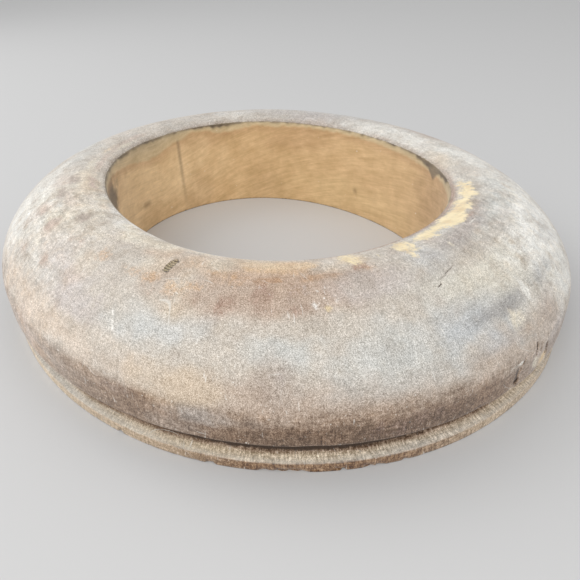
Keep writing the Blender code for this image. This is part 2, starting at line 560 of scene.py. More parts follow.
class NodeSketch:
    """Short ways to add nodes to the tree of a new material."""

    SCREEN_GAMMA = 2.2
    SCREEN_SHIFT = 0.35  # how far the screen value moves when a level moves by one
    DARKEST = (0.04, 0.04, 0.04)  # screen value that no tinted colour goes below

    def __init__(self, name: str) -> None:
        """Make the material.

        Args:
            name: name of the material.
        """
        self.material = bpy.data.materials.new(name)
        self.material.use_nodes = True
        self.tree = self.material.node_tree
        self.shader = self.tree.nodes["Principled BSDF"]

    def feed(self, socket: Socket, value: Feed) -> None:
        """Link a socket to another one, or set its value."""
        if isinstance(value, bpy.types.NodeSocket):
            self.tree.links.new(value, socket)
        elif isinstance(value, (int, float)):
            socket.default_value = value
        else:
            values = tuple(value)
            needs_alpha = len(socket.default_value) == 4 and len(values) == 3
            socket.default_value = (*values, 1.0) if needs_alpha else values

    def attribute(self, name: str, output: str = "Fac") -> Socket:
        """Return an output of a named attribute of the mesh."""
        node = self.tree.nodes.new("ShaderNodeAttribute")
        node.attribute_name = name
        return node.outputs[output]

    def place(self) -> Socket:
        """Return the place on the object in millimetres."""
        place = self.tree.nodes.new("ShaderNodeTexCoord").outputs["Object"]
        return self.vector("MULTIPLY", place, (1.0 / MM,) * 3)

    def vector(self, operation: str, a: Feed, b: Feed = (0.0, 0.0, 0.0)) -> Socket:
        """Return the result of vector maths."""
        node = self.tree.nodes.new("ShaderNodeVectorMath")
        node.operation = operation
        self.feed(node.inputs[0], a)
        self.feed(node.inputs[1], b)
        return node.outputs["Value" if operation == "LENGTH" else "Vector"]

    def maths(self, operation: str, a: Feed, b: Feed = 0.0, c: Feed = 0.0) -> Socket:
        """Return the result of maths on numbers."""
        node = self.tree.nodes.new("ShaderNodeMath")
        node.operation = operation
        for socket, value in zip(node.inputs, (a, b, c)):
            self.feed(socket, value)
        return node.outputs[0]

    def times(self, a: Feed, b: Feed) -> Socket:
        """Return the product of two numbers."""
        return self.maths("MULTIPLY", a, b)

    def step(self, value: Feed, low: float, high: float) -> Socket:
        """Return a smooth step of a number from one level to another."""
        node = self.tree.nodes.new("ShaderNodeMapRange")
        node.interpolation_type = "SMOOTHSTEP"
        for socket, number in zip(node.inputs, (value, low, high)):
            self.feed(socket, number)
        return node.outputs["Result"]

    def mix(self, share: Feed, a: Feed, b: Feed) -> Socket:
        """Return a mix of two colours."""
        node = self.tree.nodes.new("ShaderNodeMix")
        node.data_type = "RGBA"
        self.feed(node.inputs["Factor"], share)
        colours = [socket for socket in node.inputs if socket.type == "RGBA"]
        self.feed(colours[0], a)
        self.feed(colours[1], b)
        return next(socket for socket in node.outputs if socket.type == "RGBA")

    def noise(self, places: Socket, size: Feed, detail: float = 2.0, roughness: float = 0.5,
              stretch: Optional[Sequence[float]] = None, shift: Sequence[float] = (0.0, 0.0, 0.0)) -> Socket:
        """Return noise between 0 and 1.

        Args:
            places: where it is read, in millimetres.
            size: width of one lump in millimetres.
            detail: number of finer layers.
            roughness: strength of the finer layers.
            stretch: how much longer the lumps are along each axis.
            shift: added to the places, so that two noises differ.

        Returns:
            The noise as a number.
        """
        if stretch is not None:
            places = self.vector("DIVIDE", places, stretch)
        if any(shift):
            places = self.vector("ADD", places, shift)
        node = self.tree.nodes.new("ShaderNodeTexNoise")
        self.feed(node.inputs["Vector"], places)
        self.feed(node.inputs["Scale"], 1.0 / size)
        self.feed(node.inputs["Detail"], detail)
        self.feed(node.inputs["Roughness"], roughness)
        return node.outputs["Fac"]

    def specks(self, places: Socket, spacing: float, radius: float, share: float) -> Socket:
        """Return small round specks, one in some of the cells of a net.

        Args:
            places: where they are read, in millimetres.
            spacing: width of a cell in millimetres.
            radius: radius of a speck in millimetres.
            share: share of the cells that hold one.

        Returns:
            1 in a speck and 0 outside.
        """
        node = self.tree.nodes.new("ShaderNodeTexVoronoi")
        self.feed(node.inputs["Vector"], places)
        self.feed(node.inputs["Scale"], 1.0 / spacing)
        split = self.tree.nodes.new("ShaderNodeSeparateColor")
        self.feed(split.inputs[0], node.outputs["Color"])
        near = self.step(node.outputs["Distance"], radius / spacing, 0.6 * radius / spacing)
        return self.times(near, self.maths("LESS_THAN", split.outputs[0], share))

    def total(self, start: Feed, *terms: tuple[Socket, float]) -> Socket:
        """Return a start value plus noises about their middle, each times its weight."""
        for socket, weight in terms:
            start = self.maths("ADD", start, self.maths("MULTIPLY_ADD", socket, weight, -0.5 * weight))
        return start

    def power(self, colour: Feed, exponent: float) -> Socket:
        """Return a colour raised to a power."""
        node = self.tree.nodes.new("ShaderNodeGamma")
        self.feed(node.inputs["Color"], colour)
        self.feed(node.inputs["Gamma"], exponent)
        return node.outputs["Color"]

    def tinted(self, colour: Feed, level: Socket) -> Socket:
        """Return a colour made lighter or darker by the same amount in each channel, as seen on screen."""
        shift = self.maths("MULTIPLY_ADD", level, self.SCREEN_SHIFT, -self.SCREEN_SHIFT)
        shifted = self.vector("ADD", self.power(colour, 1.0 / self.SCREEN_GAMMA), shift)
        return self.power(self.vector("MAXIMUM", shifted, self.DARKEST), self.SCREEN_GAMMA)

    def relief(self, height: Socket, depth: float) -> None:
        """Give the shader a relief.

        Args:
            height: height between 0 and 1.
            depth: depth of the relief in millimetres.
        """
        node = self.tree.nodes.new("ShaderNodeBump")
        self.feed(node.inputs["Strength"], 1.0)
        self.feed(node.inputs["Distance"], depth * MM)
        self.feed(node.inputs["Height"], height)
        self.feed(self.shader.inputs["Normal"], node.outputs["Normal"])

    def finish(self, **sockets: Feed) -> bpy.types.Material:
        """Feed the shader's sockets, whose names are written with underscores, and return the material."""
        for name, value in sockets.items():
            self.feed(self.shader.inputs[name.replace("_", " ").title().replace("Ior", "IOR")], value)
        return self.material


@dataclass(frozen=True)
class TimberFinish:
    """Pale carved timber under an old, dusty coat of size.

    The pith is the middle of the growth rings, in Y and Z.
    """

    name: str
    pith: tuple[float, float]
    ring_width: float = 3.1
    ring_drift: float = 16.0
    relief: float = 0.16
    sheen: float = 0.25
    darkest_level: float = 0.3
    mark_strength: float = 0.55
    specks: tuple[tuple[float, float, float], ...] = (  # spacing, radius and share
        (9.0, 0.45, 0.4), (4.1, 0.24, 0.25))
    warm_cast: Colour = (1.02, 0.985, 0.94)
    cool_cast: Colour = (0.98, 0.997, 1.02)
    worn_through: Colour = (0.76, 0.715, 0.675)
    thick_coat: Colour = (1.16, 1.16, 1.17)

    def bare_wood(self, sketch: NodeSketch, place: Socket) -> tuple[Socket, Socket]:
        """Return the colour of the bare wood and its relief.

        Args:
            sketch: the material's nodes.
            place: place on the object.

        Returns:
            The colour and a height between 0 and 1.
        """
        centred = sketch.vector("SUBTRACT", place, (0.0, *self.pith))
        flat = sketch.vector("MULTIPLY", centred, (0.0, 1.0, 1.0))
        drift = sketch.noise(place, 16.0, 3.0, 0.6, (5.0, 1.0, 1.0))
        reach = sketch.maths("MULTIPLY_ADD", drift, self.ring_drift, sketch.vector("LENGTH", flat))
        ring = sketch.maths("FRACT", sketch.maths("DIVIDE", reach, self.ring_width))
        late = sketch.times(sketch.step(ring, 0.25, 0.9), sketch.step(ring, 1.0, 0.90))
        fibre = sketch.noise(place, 0.5, 3.0, 0.65, (22.0, 1.0, 1.0))
        vein = sketch.noise(place, 2.0, 2.0, 0.5, (14.0, 1.0, 1.0), (7.0, 3.0, 5.0))
        blotch = sketch.noise(place, 9.0, 4.0, 0.6)
        course = sketch.attribute("course", "Vector")
        saw = sketch.noise(course, 0.8, 3.0, 0.6, (34.0, 1.0, 1.0))
        sweep = sketch.noise(course, 2.8, 3.0, 0.6, (6.0, 1.0, 1.0), (9.0, 4.0, 1.0))
        level = sketch.total(1.0, (fibre, 0.16), (vein, 0.16), (blotch, 0.50), (saw, 0.34), (sweep, 0.46))
        level = sketch.maths("MULTIPLY_ADD", late, -0.035, level)
        colour = sketch.tinted(sketch.attribute("wood_tint", "Color"), level)
        return colour, sketch.maths("MULTIPLY_ADD", saw, 0.6, sketch.times(fibre, 0.4))

    def size_coat(self, sketch: NodeSketch, place: Socket, hoop: Socket) -> tuple[Socket, Socket]:
        """Return the colour of the old coat of size and its relief.

        Args:
            sketch: the material's nodes.
            place: place on the object.
            hoop: place on the unrolled ring.

        Returns:
            The colour and a height between 0 and 1.
        """
        grain = sketch.noise(place, 0.39, 2.0, 0.7)
        crumb = sketch.noise(place, 1.3, 3.0, 0.6, shift=(3.0, 9.0, 1.0))
        cloudy = sketch.noise(place, 3.0, 4.0, 0.60, shift=(8.0, 30.0, 2.0))
        hue = sketch.noise(place, 5.0, 4.0, 0.65, shift=(31.0, 7.0, 3.0))
        blotch = sketch.noise(place, 9.0, 3.0, 0.55, shift=(20.0, 4.0, 8.0))
        hatch = sketch.noise(hoop, 0.50, 2.0, 0.65, (1.0, 1.0, 9.0))
        lathe = sketch.noise(hoop, 0.8, 2.0, 0.6, (16.0, 16.0, 1.0), (2.0, 5.0, 9.0))
        swept = sketch.noise(hoop, 1.7, 3.0, 0.6, (10.0, 10.0, 1.0), (3.0, 8.0, 5.0))
        brush = sketch.noise(hoop, 3.2, 3.0, 0.6, (1.0, 1.0, 2.2), (4.0, 7.0, 1.0))
        mottle, tooling = sketch.attribute("coat_tint", "Alpha"), sketch.attribute("tooling")
        level = sketch.total(1.0, (grain, 2.6), (crumb, 0.2))
        patchy = sketch.total(0.0, (crumb, 0.40), (cloudy, 0.7), (swept, 0.5))
        level = sketch.maths("MULTIPLY_ADD", mottle, patchy, level)
        carved = sketch.total(0.0, (hatch, 2.8), (lathe, 1.6), (crumb, 3.0))
        level = sketch.maths("MULTIPLY_ADD", tooling, carved, level)
        ground = sketch.attribute("coat_tint", "Color")
        for noise, full, cast in ((hue, 0.68, self.warm_cast), (hue, 0.34, self.cool_cast),
                                  (blotch, 0.72, self.worn_through), (blotch, 0.30, self.thick_coat)):
            share = sketch.times(mottle, sketch.step(noise, 0.50, full))
            ground = sketch.mix(share, ground, sketch.vector("MULTIPLY", ground, cast))
        cover = sketch.total(sketch.attribute("stain_tint", "Alpha"), (brush, 1.1), (crumb, 0.9))
        ground = sketch.mix(sketch.step(cover, 0.22, 0.95), ground, sketch.attribute("stain_tint", "Color"))
        colour = sketch.tinted(ground, sketch.maths("MAXIMUM", level, self.darkest_level))
        colour = sketch.mix(self.hairlines(sketch, place), colour, Tone.CHALK.colour)
        colour = sketch.mix(self.strokes(sketch, hoop, place), colour, Tone.DUST.colour)
        return colour, sketch.maths("MULTIPLY_ADD", grain, 0.6, sketch.times(crumb, 0.4))

    def hairlines(self, sketch: NodeSketch, place: Socket) -> Socket:
        """Return thin, curved scratches, brightest on a scratch and 0 beside it."""
        lines: Feed = 0.0
        for size, shift in ((34.0, 3.0), (52.0, 41.0), (43.0, 17.0)):
            bend = sketch.noise(place, size, 0.0, 0.4, shift=(shift, 2.0, 6.0))
            near = sketch.step(sketch.maths("ABSOLUTE", sketch.maths("SUBTRACT", bend, 0.5)), 0.0024, 0.0005)
            here = sketch.step(sketch.noise(place, 11.0, 1.0, 0.5, shift=(1.0, shift, 9.0)), 0.58, 0.68)
            lines = sketch.maths("MAXIMUM", lines, sketch.times(near, here))
        return sketch.times(lines, self.mark_strength)

    def strokes(self, sketch: NodeSketch, hoop: Socket, place: Socket) -> Socket:
        """Return short pale rubs, some down the section and some across it, brightest on a rub."""
        down = sketch.noise(hoop, 0.7, 1.0, 0.5, (1.0, 1.0, 7.0), (60.0, 3.0, 1.0))
        cross = sketch.noise(place, 0.7, 1.0, 0.5, (8.0, 1.0, 1.2), (5.0, 70.0, 1.0))
        rub = sketch.step(sketch.maths("MAXIMUM", down, cross), 0.68, 0.80)
        here = sketch.step(sketch.noise(place, 9.0, 3.0, 0.6, shift=(90.0, 1.0, 7.0)), 0.44, 0.60)
        return sketch.times(sketch.times(rub, here), self.mark_strength)

    def build(self) -> bpy.types.Material:
        """Return the material."""
        sketch = NodeSketch(self.name)
        place, hoop = sketch.place(), sketch.attribute("hoop", "Vector")
        wood, wood_height = self.bare_wood(sketch, place)
        coat, coat_height = self.size_coat(sketch, place, hoop)
        tear, fray = sketch.noise(hoop, 2.0, 4.0, 0.70, (1.0, 1.0, 1.6)), sketch.noise(place, 0.8, 2.0, 0.6)
        bare = sketch.step(sketch.total(sketch.attribute("bare"), (tear, 1.2), (fray, 0.7)), 0.34, 0.86)
        # grime and painted shade: towards shadow brown up to 1, and above 1.1 towards near-black painted
        # shade in the deep hole and the groove
        dirt_and_shade = sketch.attribute("soil_and_shade")
        smear = sketch.noise(place, 1.6, 3.0, 0.6, shift=(2.0, 2.0, 44.0))
        soil_and_shade = sketch.step(sketch.total(dirt_and_shade, (smear, 0.7)), 0.30, 0.80)
        # chalky pale of the dusty groove bottom and a painted highlight on the lip's top edge
        dust_and_highlight = sketch.times(sketch.attribute("dust_and_highlight"), sketch.noise(place, 2.0, 3.0, 0.6))
        specks = sketch.maths("MAXIMUM", *(sketch.specks(place, *size) for size in self.specks))
        colour = sketch.mix(bare, coat, wood)
        layers = ((sketch.times(soil_and_shade, 0.92), Tone.SHADOW_BROWN), (sketch.step(dirt_and_shade, 1.1, 1.5), Tone.SHADE_BLACK),
                  (dust_and_highlight, Tone.CHALK), (sketch.times(specks, 0.8), Tone.DUST))
        for share, tone in layers:
            colour = sketch.mix(share, colour, tone.colour)
        sketch.relief(sketch.mix(bare, coat_height, wood_height), self.relief)
        roughness = sketch.total(0.72, (sketch.noise(place, 1.4, 2.0, 0.6), 0.20))
        return sketch.finish(base_color=colour, roughness=roughness, sheen_weight=self.sheen,
                             sheen_roughness=0.6, specular_ior_level=0.35)


@dataclass(frozen=True)
class DowelFinish:
    """Bare turned hardwood with its grain along the pin."""

    name: str = "turned_dowel_wood"
    pale: Colour = field(default_factory=lambda: linear(204, 168, 118))
    dark: Colour = field(default_factory=lambda: linear(158, 116, 72))

    def build(self) -> bpy.types.Material:
        """Return the material."""
        sketch = NodeSketch(self.name)
        place = sketch.place()
        fibre = sketch.noise(place, 0.5, 3.0, 0.65, (1.0, 24.0, 1.0))
        ring = sketch.noise(place, 1.8, 2.0, 0.5, (1.0, 12.0, 1.0))
        share = sketch.maths("MULTIPLY_ADD", fibre, 0.6, sketch.times(ring, 0.4))
        colour = sketch.mix(sketch.step(share, 0.35, 0.65), self.dark, self.pale)
        sketch.relief(fibre, 0.08)
        return sketch.finish(base_color=colour, roughness=sketch.total(0.6, (fibre, 0.15)))


class Side(Enum):
    """Half of the ring that a board makes."""

    RIGHT = ("right", 0.0, 1.0, (64.0, -46.0))
    LEFT = ("left", 180.0, -1.0, (-88.0, 118.0))

    def __init__(self, word: str, start: float, sign: float, pith: tuple[float, float]) -> None:
        """Keep what belongs to the side.

        Args:
            word: the side as a word.
            start: angle where the board starts.
            sign: 1 for +Y and -1 for -Y.
            pith: middle of the board's growth rings, in Y and Z.
        """
        self.word = word
        self.start = start
        self.sign = sign
        self.pith = pith


@dataclass
class Board:
    """One half of the ring, from its carved skin to the holes in its joint faces."""

    LAYERS = ("angle", "run", "pace", "on_skin")

    side: Side
    sizes: BlockSizes
    section: Section
    stations: int = 300
    pace_step: float = 0.05
    rim_margin: float = 2.0  # depth down the opening to which the skin counts as the rim
    base_margin: float = 1.0
    broad_wave: float = 0.10
    fine_wave: float = 0.05
    inside_wave: float = 0.06
    rim_wear: float = 0.35
    foot_wear: float = 0.30
    gap_fan: float = 20.0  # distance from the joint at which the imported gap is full
    closed_gap: float = 0.01
    open_gap: float = 0.06
    open_run: tuple[float, float] = (69.0, 84.0)
    hole_radius: float = 5.3
    hole_room: float = 1.5
    hole_tip: float = 1.5
    hole_sides: int = 28
    refinements: tuple[Refinement, ...] = (
        Refinement(-59.6, 18.2, 3.4, 6.4, 4),
        Refinement(0.6, 77.0, 8.0, 9.0, 3),
        Refinement(8.0, 75.0, 9.0, 7.0, 3),
        Refinement(-3.8, 29.4, 11.0, 5.6, 3),
        Refinement(-63.8, 106.0, 4.0, 4.0, 2),
        Refinement(-28.0, 104.0, 4.0, 4.0, 2),
    )
    hollows: tuple[Hollow, ...] = (
        Hollow(0.6, 80.9, 2.0, 1.5, 4.2, 0.1),
        Hollow(-63.8, 108.0, 1.4, 2.2, 1.6),
    )
    splits: tuple[Split, ...] = (
        Split((0.5, 82.0), (0.9, 75.5), 1.1, 1.7),
        Split((0.8, 77.0), (2.4, 71.0), 0.9, 1.4),
        Split((5.5, 75.8), (5.8, 69.0), 1.8, 2.6),
        Split((6.9, 75.6), (7.2, 70.4), 1.5, 2.0),
        Split((9.6, 81.0), (9.2, 73.2), 2.8, 3.4),
        Split((-1.2, 26.8), (-6.4, 31.6), 0.9, 0.46),
        Split((-6.4, 32.2), (-7.8, 33.8), 1.1, 0.5),
    )
    thread_dent: ThreadPrint = ThreadPrint()
    lip_wear: LipWear = LipWear()

    def _skin(self) -> bmesh.types.BMesh:
        """Return the open skin of the half ring, with the layers that say where each vertex lies."""
        angles = self.side.start + np.linspace(0.0, 180.0, self.stations + 1)
        angle, share = np.meshgrid(angles, self.section.share, indexing="ij")
        angle = angle + self.sizes.joint_turn(angle, share)
        inset, z, run = (np.broadcast_to(row, angle.shape) for row in (
            self.section.inset, self.section.height, self.section.run))
        x, y = self.sizes.plan(angle, share, inset)
        steps = (self.pace_step, -self.pace_step)
        ahead, behind = (self.sizes.plan(angle + step, share, inset) for step in steps)
        pace = np.hypot(ahead[0] - behind[0], ahead[1] - behind[1]) / (2.0 * self.pace_step)
        off_joint = np.clip(np.abs(y - self.sizes.joint(x)) / self.gap_fan, 0.0, 1.0)
        y = y + self.side.sign * 0.5 * self.sizes.joint_gap * off_joint
        skin = bmesh.new()
        layers = [skin.verts.layers.float.new(name) for name in self.LAYERS]
        rows = []
        for i in range(x.shape[0]):
            row = []
            for j in range(x.shape[1]):
                vert = skin.verts.new((x[i, j], y[i, j], z[i, j]))
                for layer, value in zip(layers, (angle[i, j], run[i, j], pace[i, j], 1.0)):
                    vert[layer] = value
                row.append(vert)
            rows.append(row)
        self._bridge(skin, rows)
        skin.normal_update()
        return skin

    @staticmethod
    def _bridge(skin: bmesh.types.BMesh, rings: Sequence[Sequence[bmesh.types.BMVert]]) -> None:
        """Add the faces between each ring of vertices and the next."""
        for near, far in zip(rings, rings[1:]):
            for i in range(len(near)):
                j = (i + 1) % len(near)
                skin.faces.new((near[i], near[j], far[j], far[i]))

    def _refine(self, skin: bmesh.types.BMesh) -> None:
        """Cut the faces near the small details into a finer net."""
        layers = [skin.verts.layers.float[name] for name in self.LAYERS[:3]]
        for spot in self.refinements:
            chosen = [face for face in skin.faces
                      if all(spot.holds(*(vert[layer] for layer in layers)) for vert in face.verts)]
            edges = list({edge for face in chosen for edge in face.edges})
            if edges:
                bmesh.ops.subdivide_edges(skin, edges=edges, cuts=spot.cuts, use_grid_fill=True)
        skin.normal_update()

    def _surface(self, skin: bmesh.types.BMesh) -> Surface:
        """Return where the vertices of a skin lie."""
        layers = [skin.verts.layers.float[name] for name in self.LAYERS[:3]]
        rows = [np.array([vert[layer] for vert in skin.verts]) for layer in layers]
        place = np.array([tuple(vert.co) for vert in skin.verts])
        return Surface(*rows, place, Cloud(NOISE_SEED))

    def _holes(self, surface: Surface) -> np.ndarray:
        """Return the depth of the chips and splits at each point."""
        depth = sum(hollow.dig(surface) for hollow in self.hollows)
        return depth + np.maximum.reduce([split.dig(surface) for split in self.splits])

    def _carve(self, skin: bmesh.types.BMesh) -> None:
        """Move the skin in where the wood is worn, dented or split, and close its ends on the joint."""
        surface = self._surface(skin)
        run, noise = surface.run, surface.noise
        on_base = run > self.section.lip_foot + self.base_margin
        outside = (run > -self.rim_margin) & ~on_base
        depth = np.where(outside, self.broad_wave * noise(24.0) + self.fine_wave * noise(8.0), 0.0)
        depth += np.where(run < -self.rim_margin, self.inside_wave * noise(9.0, (1.0, 1.0, 4.0)), 0.0)
        depth += self.rim_wear * ease(2.4, 0.0, np.abs(run + 0.6)) * ease(-0.1, 0.6, noise(16.0))
        wall_foot = ease(1.6, 0.0, np.abs(run - self.section.wall_foot))
        depth += self.foot_wear * wall_foot * ease(0.1, 0.7, noise(7.0))
        depth += self.thread_dent.dig(surface) + self._holes(surface)
        depth += self.lip_wear.dig(surface, self.section)
        depth = np.where(on_base, 0.0, depth)
        for vert, inward in zip(skin.verts, depth):
            vert.co -= vert.normal * float(inward)
            vert.co.z = max(vert.co.z, 0.0)
        self._close_ends(skin)

    def _close_ends(self, skin: bmesh.types.BMesh) -> None:
        """Set the two ends of the skin on the joint, a little open where the glue line shows."""
        run = skin.verts.layers.float["run"]
        low, high = self.open_run
        for vert in (vert for vert in skin.verts if vert.is_boundary):
            gap = self.closed_gap
            if vert.co.x > 0.0 and low < vert[run] < high:
                gap += self.open_gap * math.sin(math.pi * (vert[run] - low) / (high - low))
            vert.co.y = self.sizes.joint(vert.co.x) + self.side.sign * gap

    def _end_loops(self, skin: bmesh.types.BMesh) -> list[list[bmesh.types.BMVert]]:
        """Return the two open ends of the skin as rows of vertices in order."""
        loops = []
        waiting = {vert for vert in skin.verts if vert.is_boundary}
        while waiting:
            vert = min(waiting, key=lambda v: v.index)
            loop = [vert]
            waiting.discard(vert)
            while True:
                steps = [edge.other_vert(loop[-1]) for edge in loop[-1].link_edges if edge.is_boundary]
                ahead = [other for other in steps if other in waiting]
                if not ahead:
                    break
                loop.append(ahead[0])
                waiting.discard(ahead[0])
            loops.append(loop)
        return loops

    def _close_joint(self, skin: bmesh.types.BMesh, dowels: Sequence[str]) -> None:
        """Close both joint faces, with a blind hole for each dowel.

        Args:
            skin: the carved skin, open at both ends.
            dowels: names of the dowels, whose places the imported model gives.
        """
        skin.verts.index_update()
        for loop in self._end_loops(skin):
            end_sign = 1.0 if loop[0].co.x > 0.0 else -1.0
            outline = [Vector((vert.co.x, vert.co.z)) for vert in loop]
            points, edges, verts = list(outline), [], list(loop)
            edges += [(i, (i + 1) % len(loop)) for i in range(len(loop))]
            centres = []
            for dowel in dowels:
                low, high = (Vector(corner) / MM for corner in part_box(dowel))
                middle = 0.5 * (low + high)
                if middle.x * end_sign < 0.0:
                    continue
                centres.append((middle.x, middle.z))
                rim = self._hole(skin, middle, 0.5 * (high.y - low.y) + self.hole_room)
                first = len(points)
                points += [Vector((vert.co.x, vert.co.z)) for vert in rim]
                edges += [(first + i, first + (i + 1) % len(rim)) for i in range(len(rim))]
                verts += rim
            flat, _, faces, origins, _, _ = delaunay_2d_cdt(points, edges, [], 1, 1e-6)
            for face in faces:
                centre = sum((flat[i] for i in face), Vector((0.0, 0.0))) / len(face)
                in_hole = any(math.hypot(centre.x - cx, centre.y - cz) < self.hole_radius
                              for cx, cz in centres)
                if not in_hole:
                    corners = [verts[origins[i][0]] for i in face]
                    if skin.faces.get(corners) is None:
                        skin.faces.new(corners)
        bmesh.ops.recalc_face_normals(skin, faces=skin.faces[:])

    def _hole(self, skin: bmesh.types.BMesh, middle: Vector, depth: float) -> list[bmesh.types.BMVert]:
        """Add a blind hole to the skin and return the vertices of its mouth."""
        rings = []
        for radius, reach in ((self.hole_radius, None), (self.hole_radius, depth - self.hole_tip),
                              (0.35 * self.hole_radius, depth)):
            ring = []
            for step in range(self.hole_sides):
                turn = 2.0 * math.pi * step / self.hole_sides
                x, z = middle.x + radius * math.cos(turn), middle.z + radius * math.sin(turn)
                mouth = self.sizes.joint(x) + self.side.sign * self.closed_gap
                y = mouth if reach is None else middle.y + self.side.sign * reach
                ring.append(skin.verts.new((x, y, z)))
            rings.append(ring)
        self._bridge(skin, rings)
        skin.faces.new(rings[-1])
        return rings[0]

    def build(self, dowels: Sequence[str]) -> bpy.types.Object:
        """Build the board and dress it.

        Args:
            dowels: names of the dowels that its holes are for.

        Returns:
            The board as an object.
        """
        skin = self._skin()
        self._refine(skin)
        self._carve(skin)
        self._close_joint(skin, dowels)
        surface = self._surface(skin)
        on_skin = np.array([vert[skin.verts.layers.float["on_skin"]] for vert in skin.verts]) > 0.5
        for vert in skin.verts:
            vert.co *= MM
        name = f"carved_{self.side.word}_board"
        mesh = bpy.data.meshes.new(name)
        skin.to_mesh(mesh)
        skin.free()
        for layer in self.LAYERS:
            mesh.attributes.remove(mesh.attributes[layer])
        holes = self._holes(surface)
        # grime and painted shade in the dent, chips and splits; above 1, near-black painted shade in the deep
        # hole
        dirt_and_shade = np.maximum(self.thread_dent.dirt_and_shade(surface), ease(0.2, 0.6, holes) + 0.6 * ease(1.0, 2.0, holes))
        Coat(self.sizes, self.section).paint(mesh, surface, on_skin, dirt_and_shade)
        mesh.materials.append(TimberFinish(f"{self.side.word}_board_timber", self.side.pith).build())
        mesh.shade_smooth()
        mesh.set_sharp_from_angle(angle=SHARP_ANGLE)
        board = bpy.data.objects.new(name, mesh)
        bpy.context.scene.collection.objects.link(board)
        return board


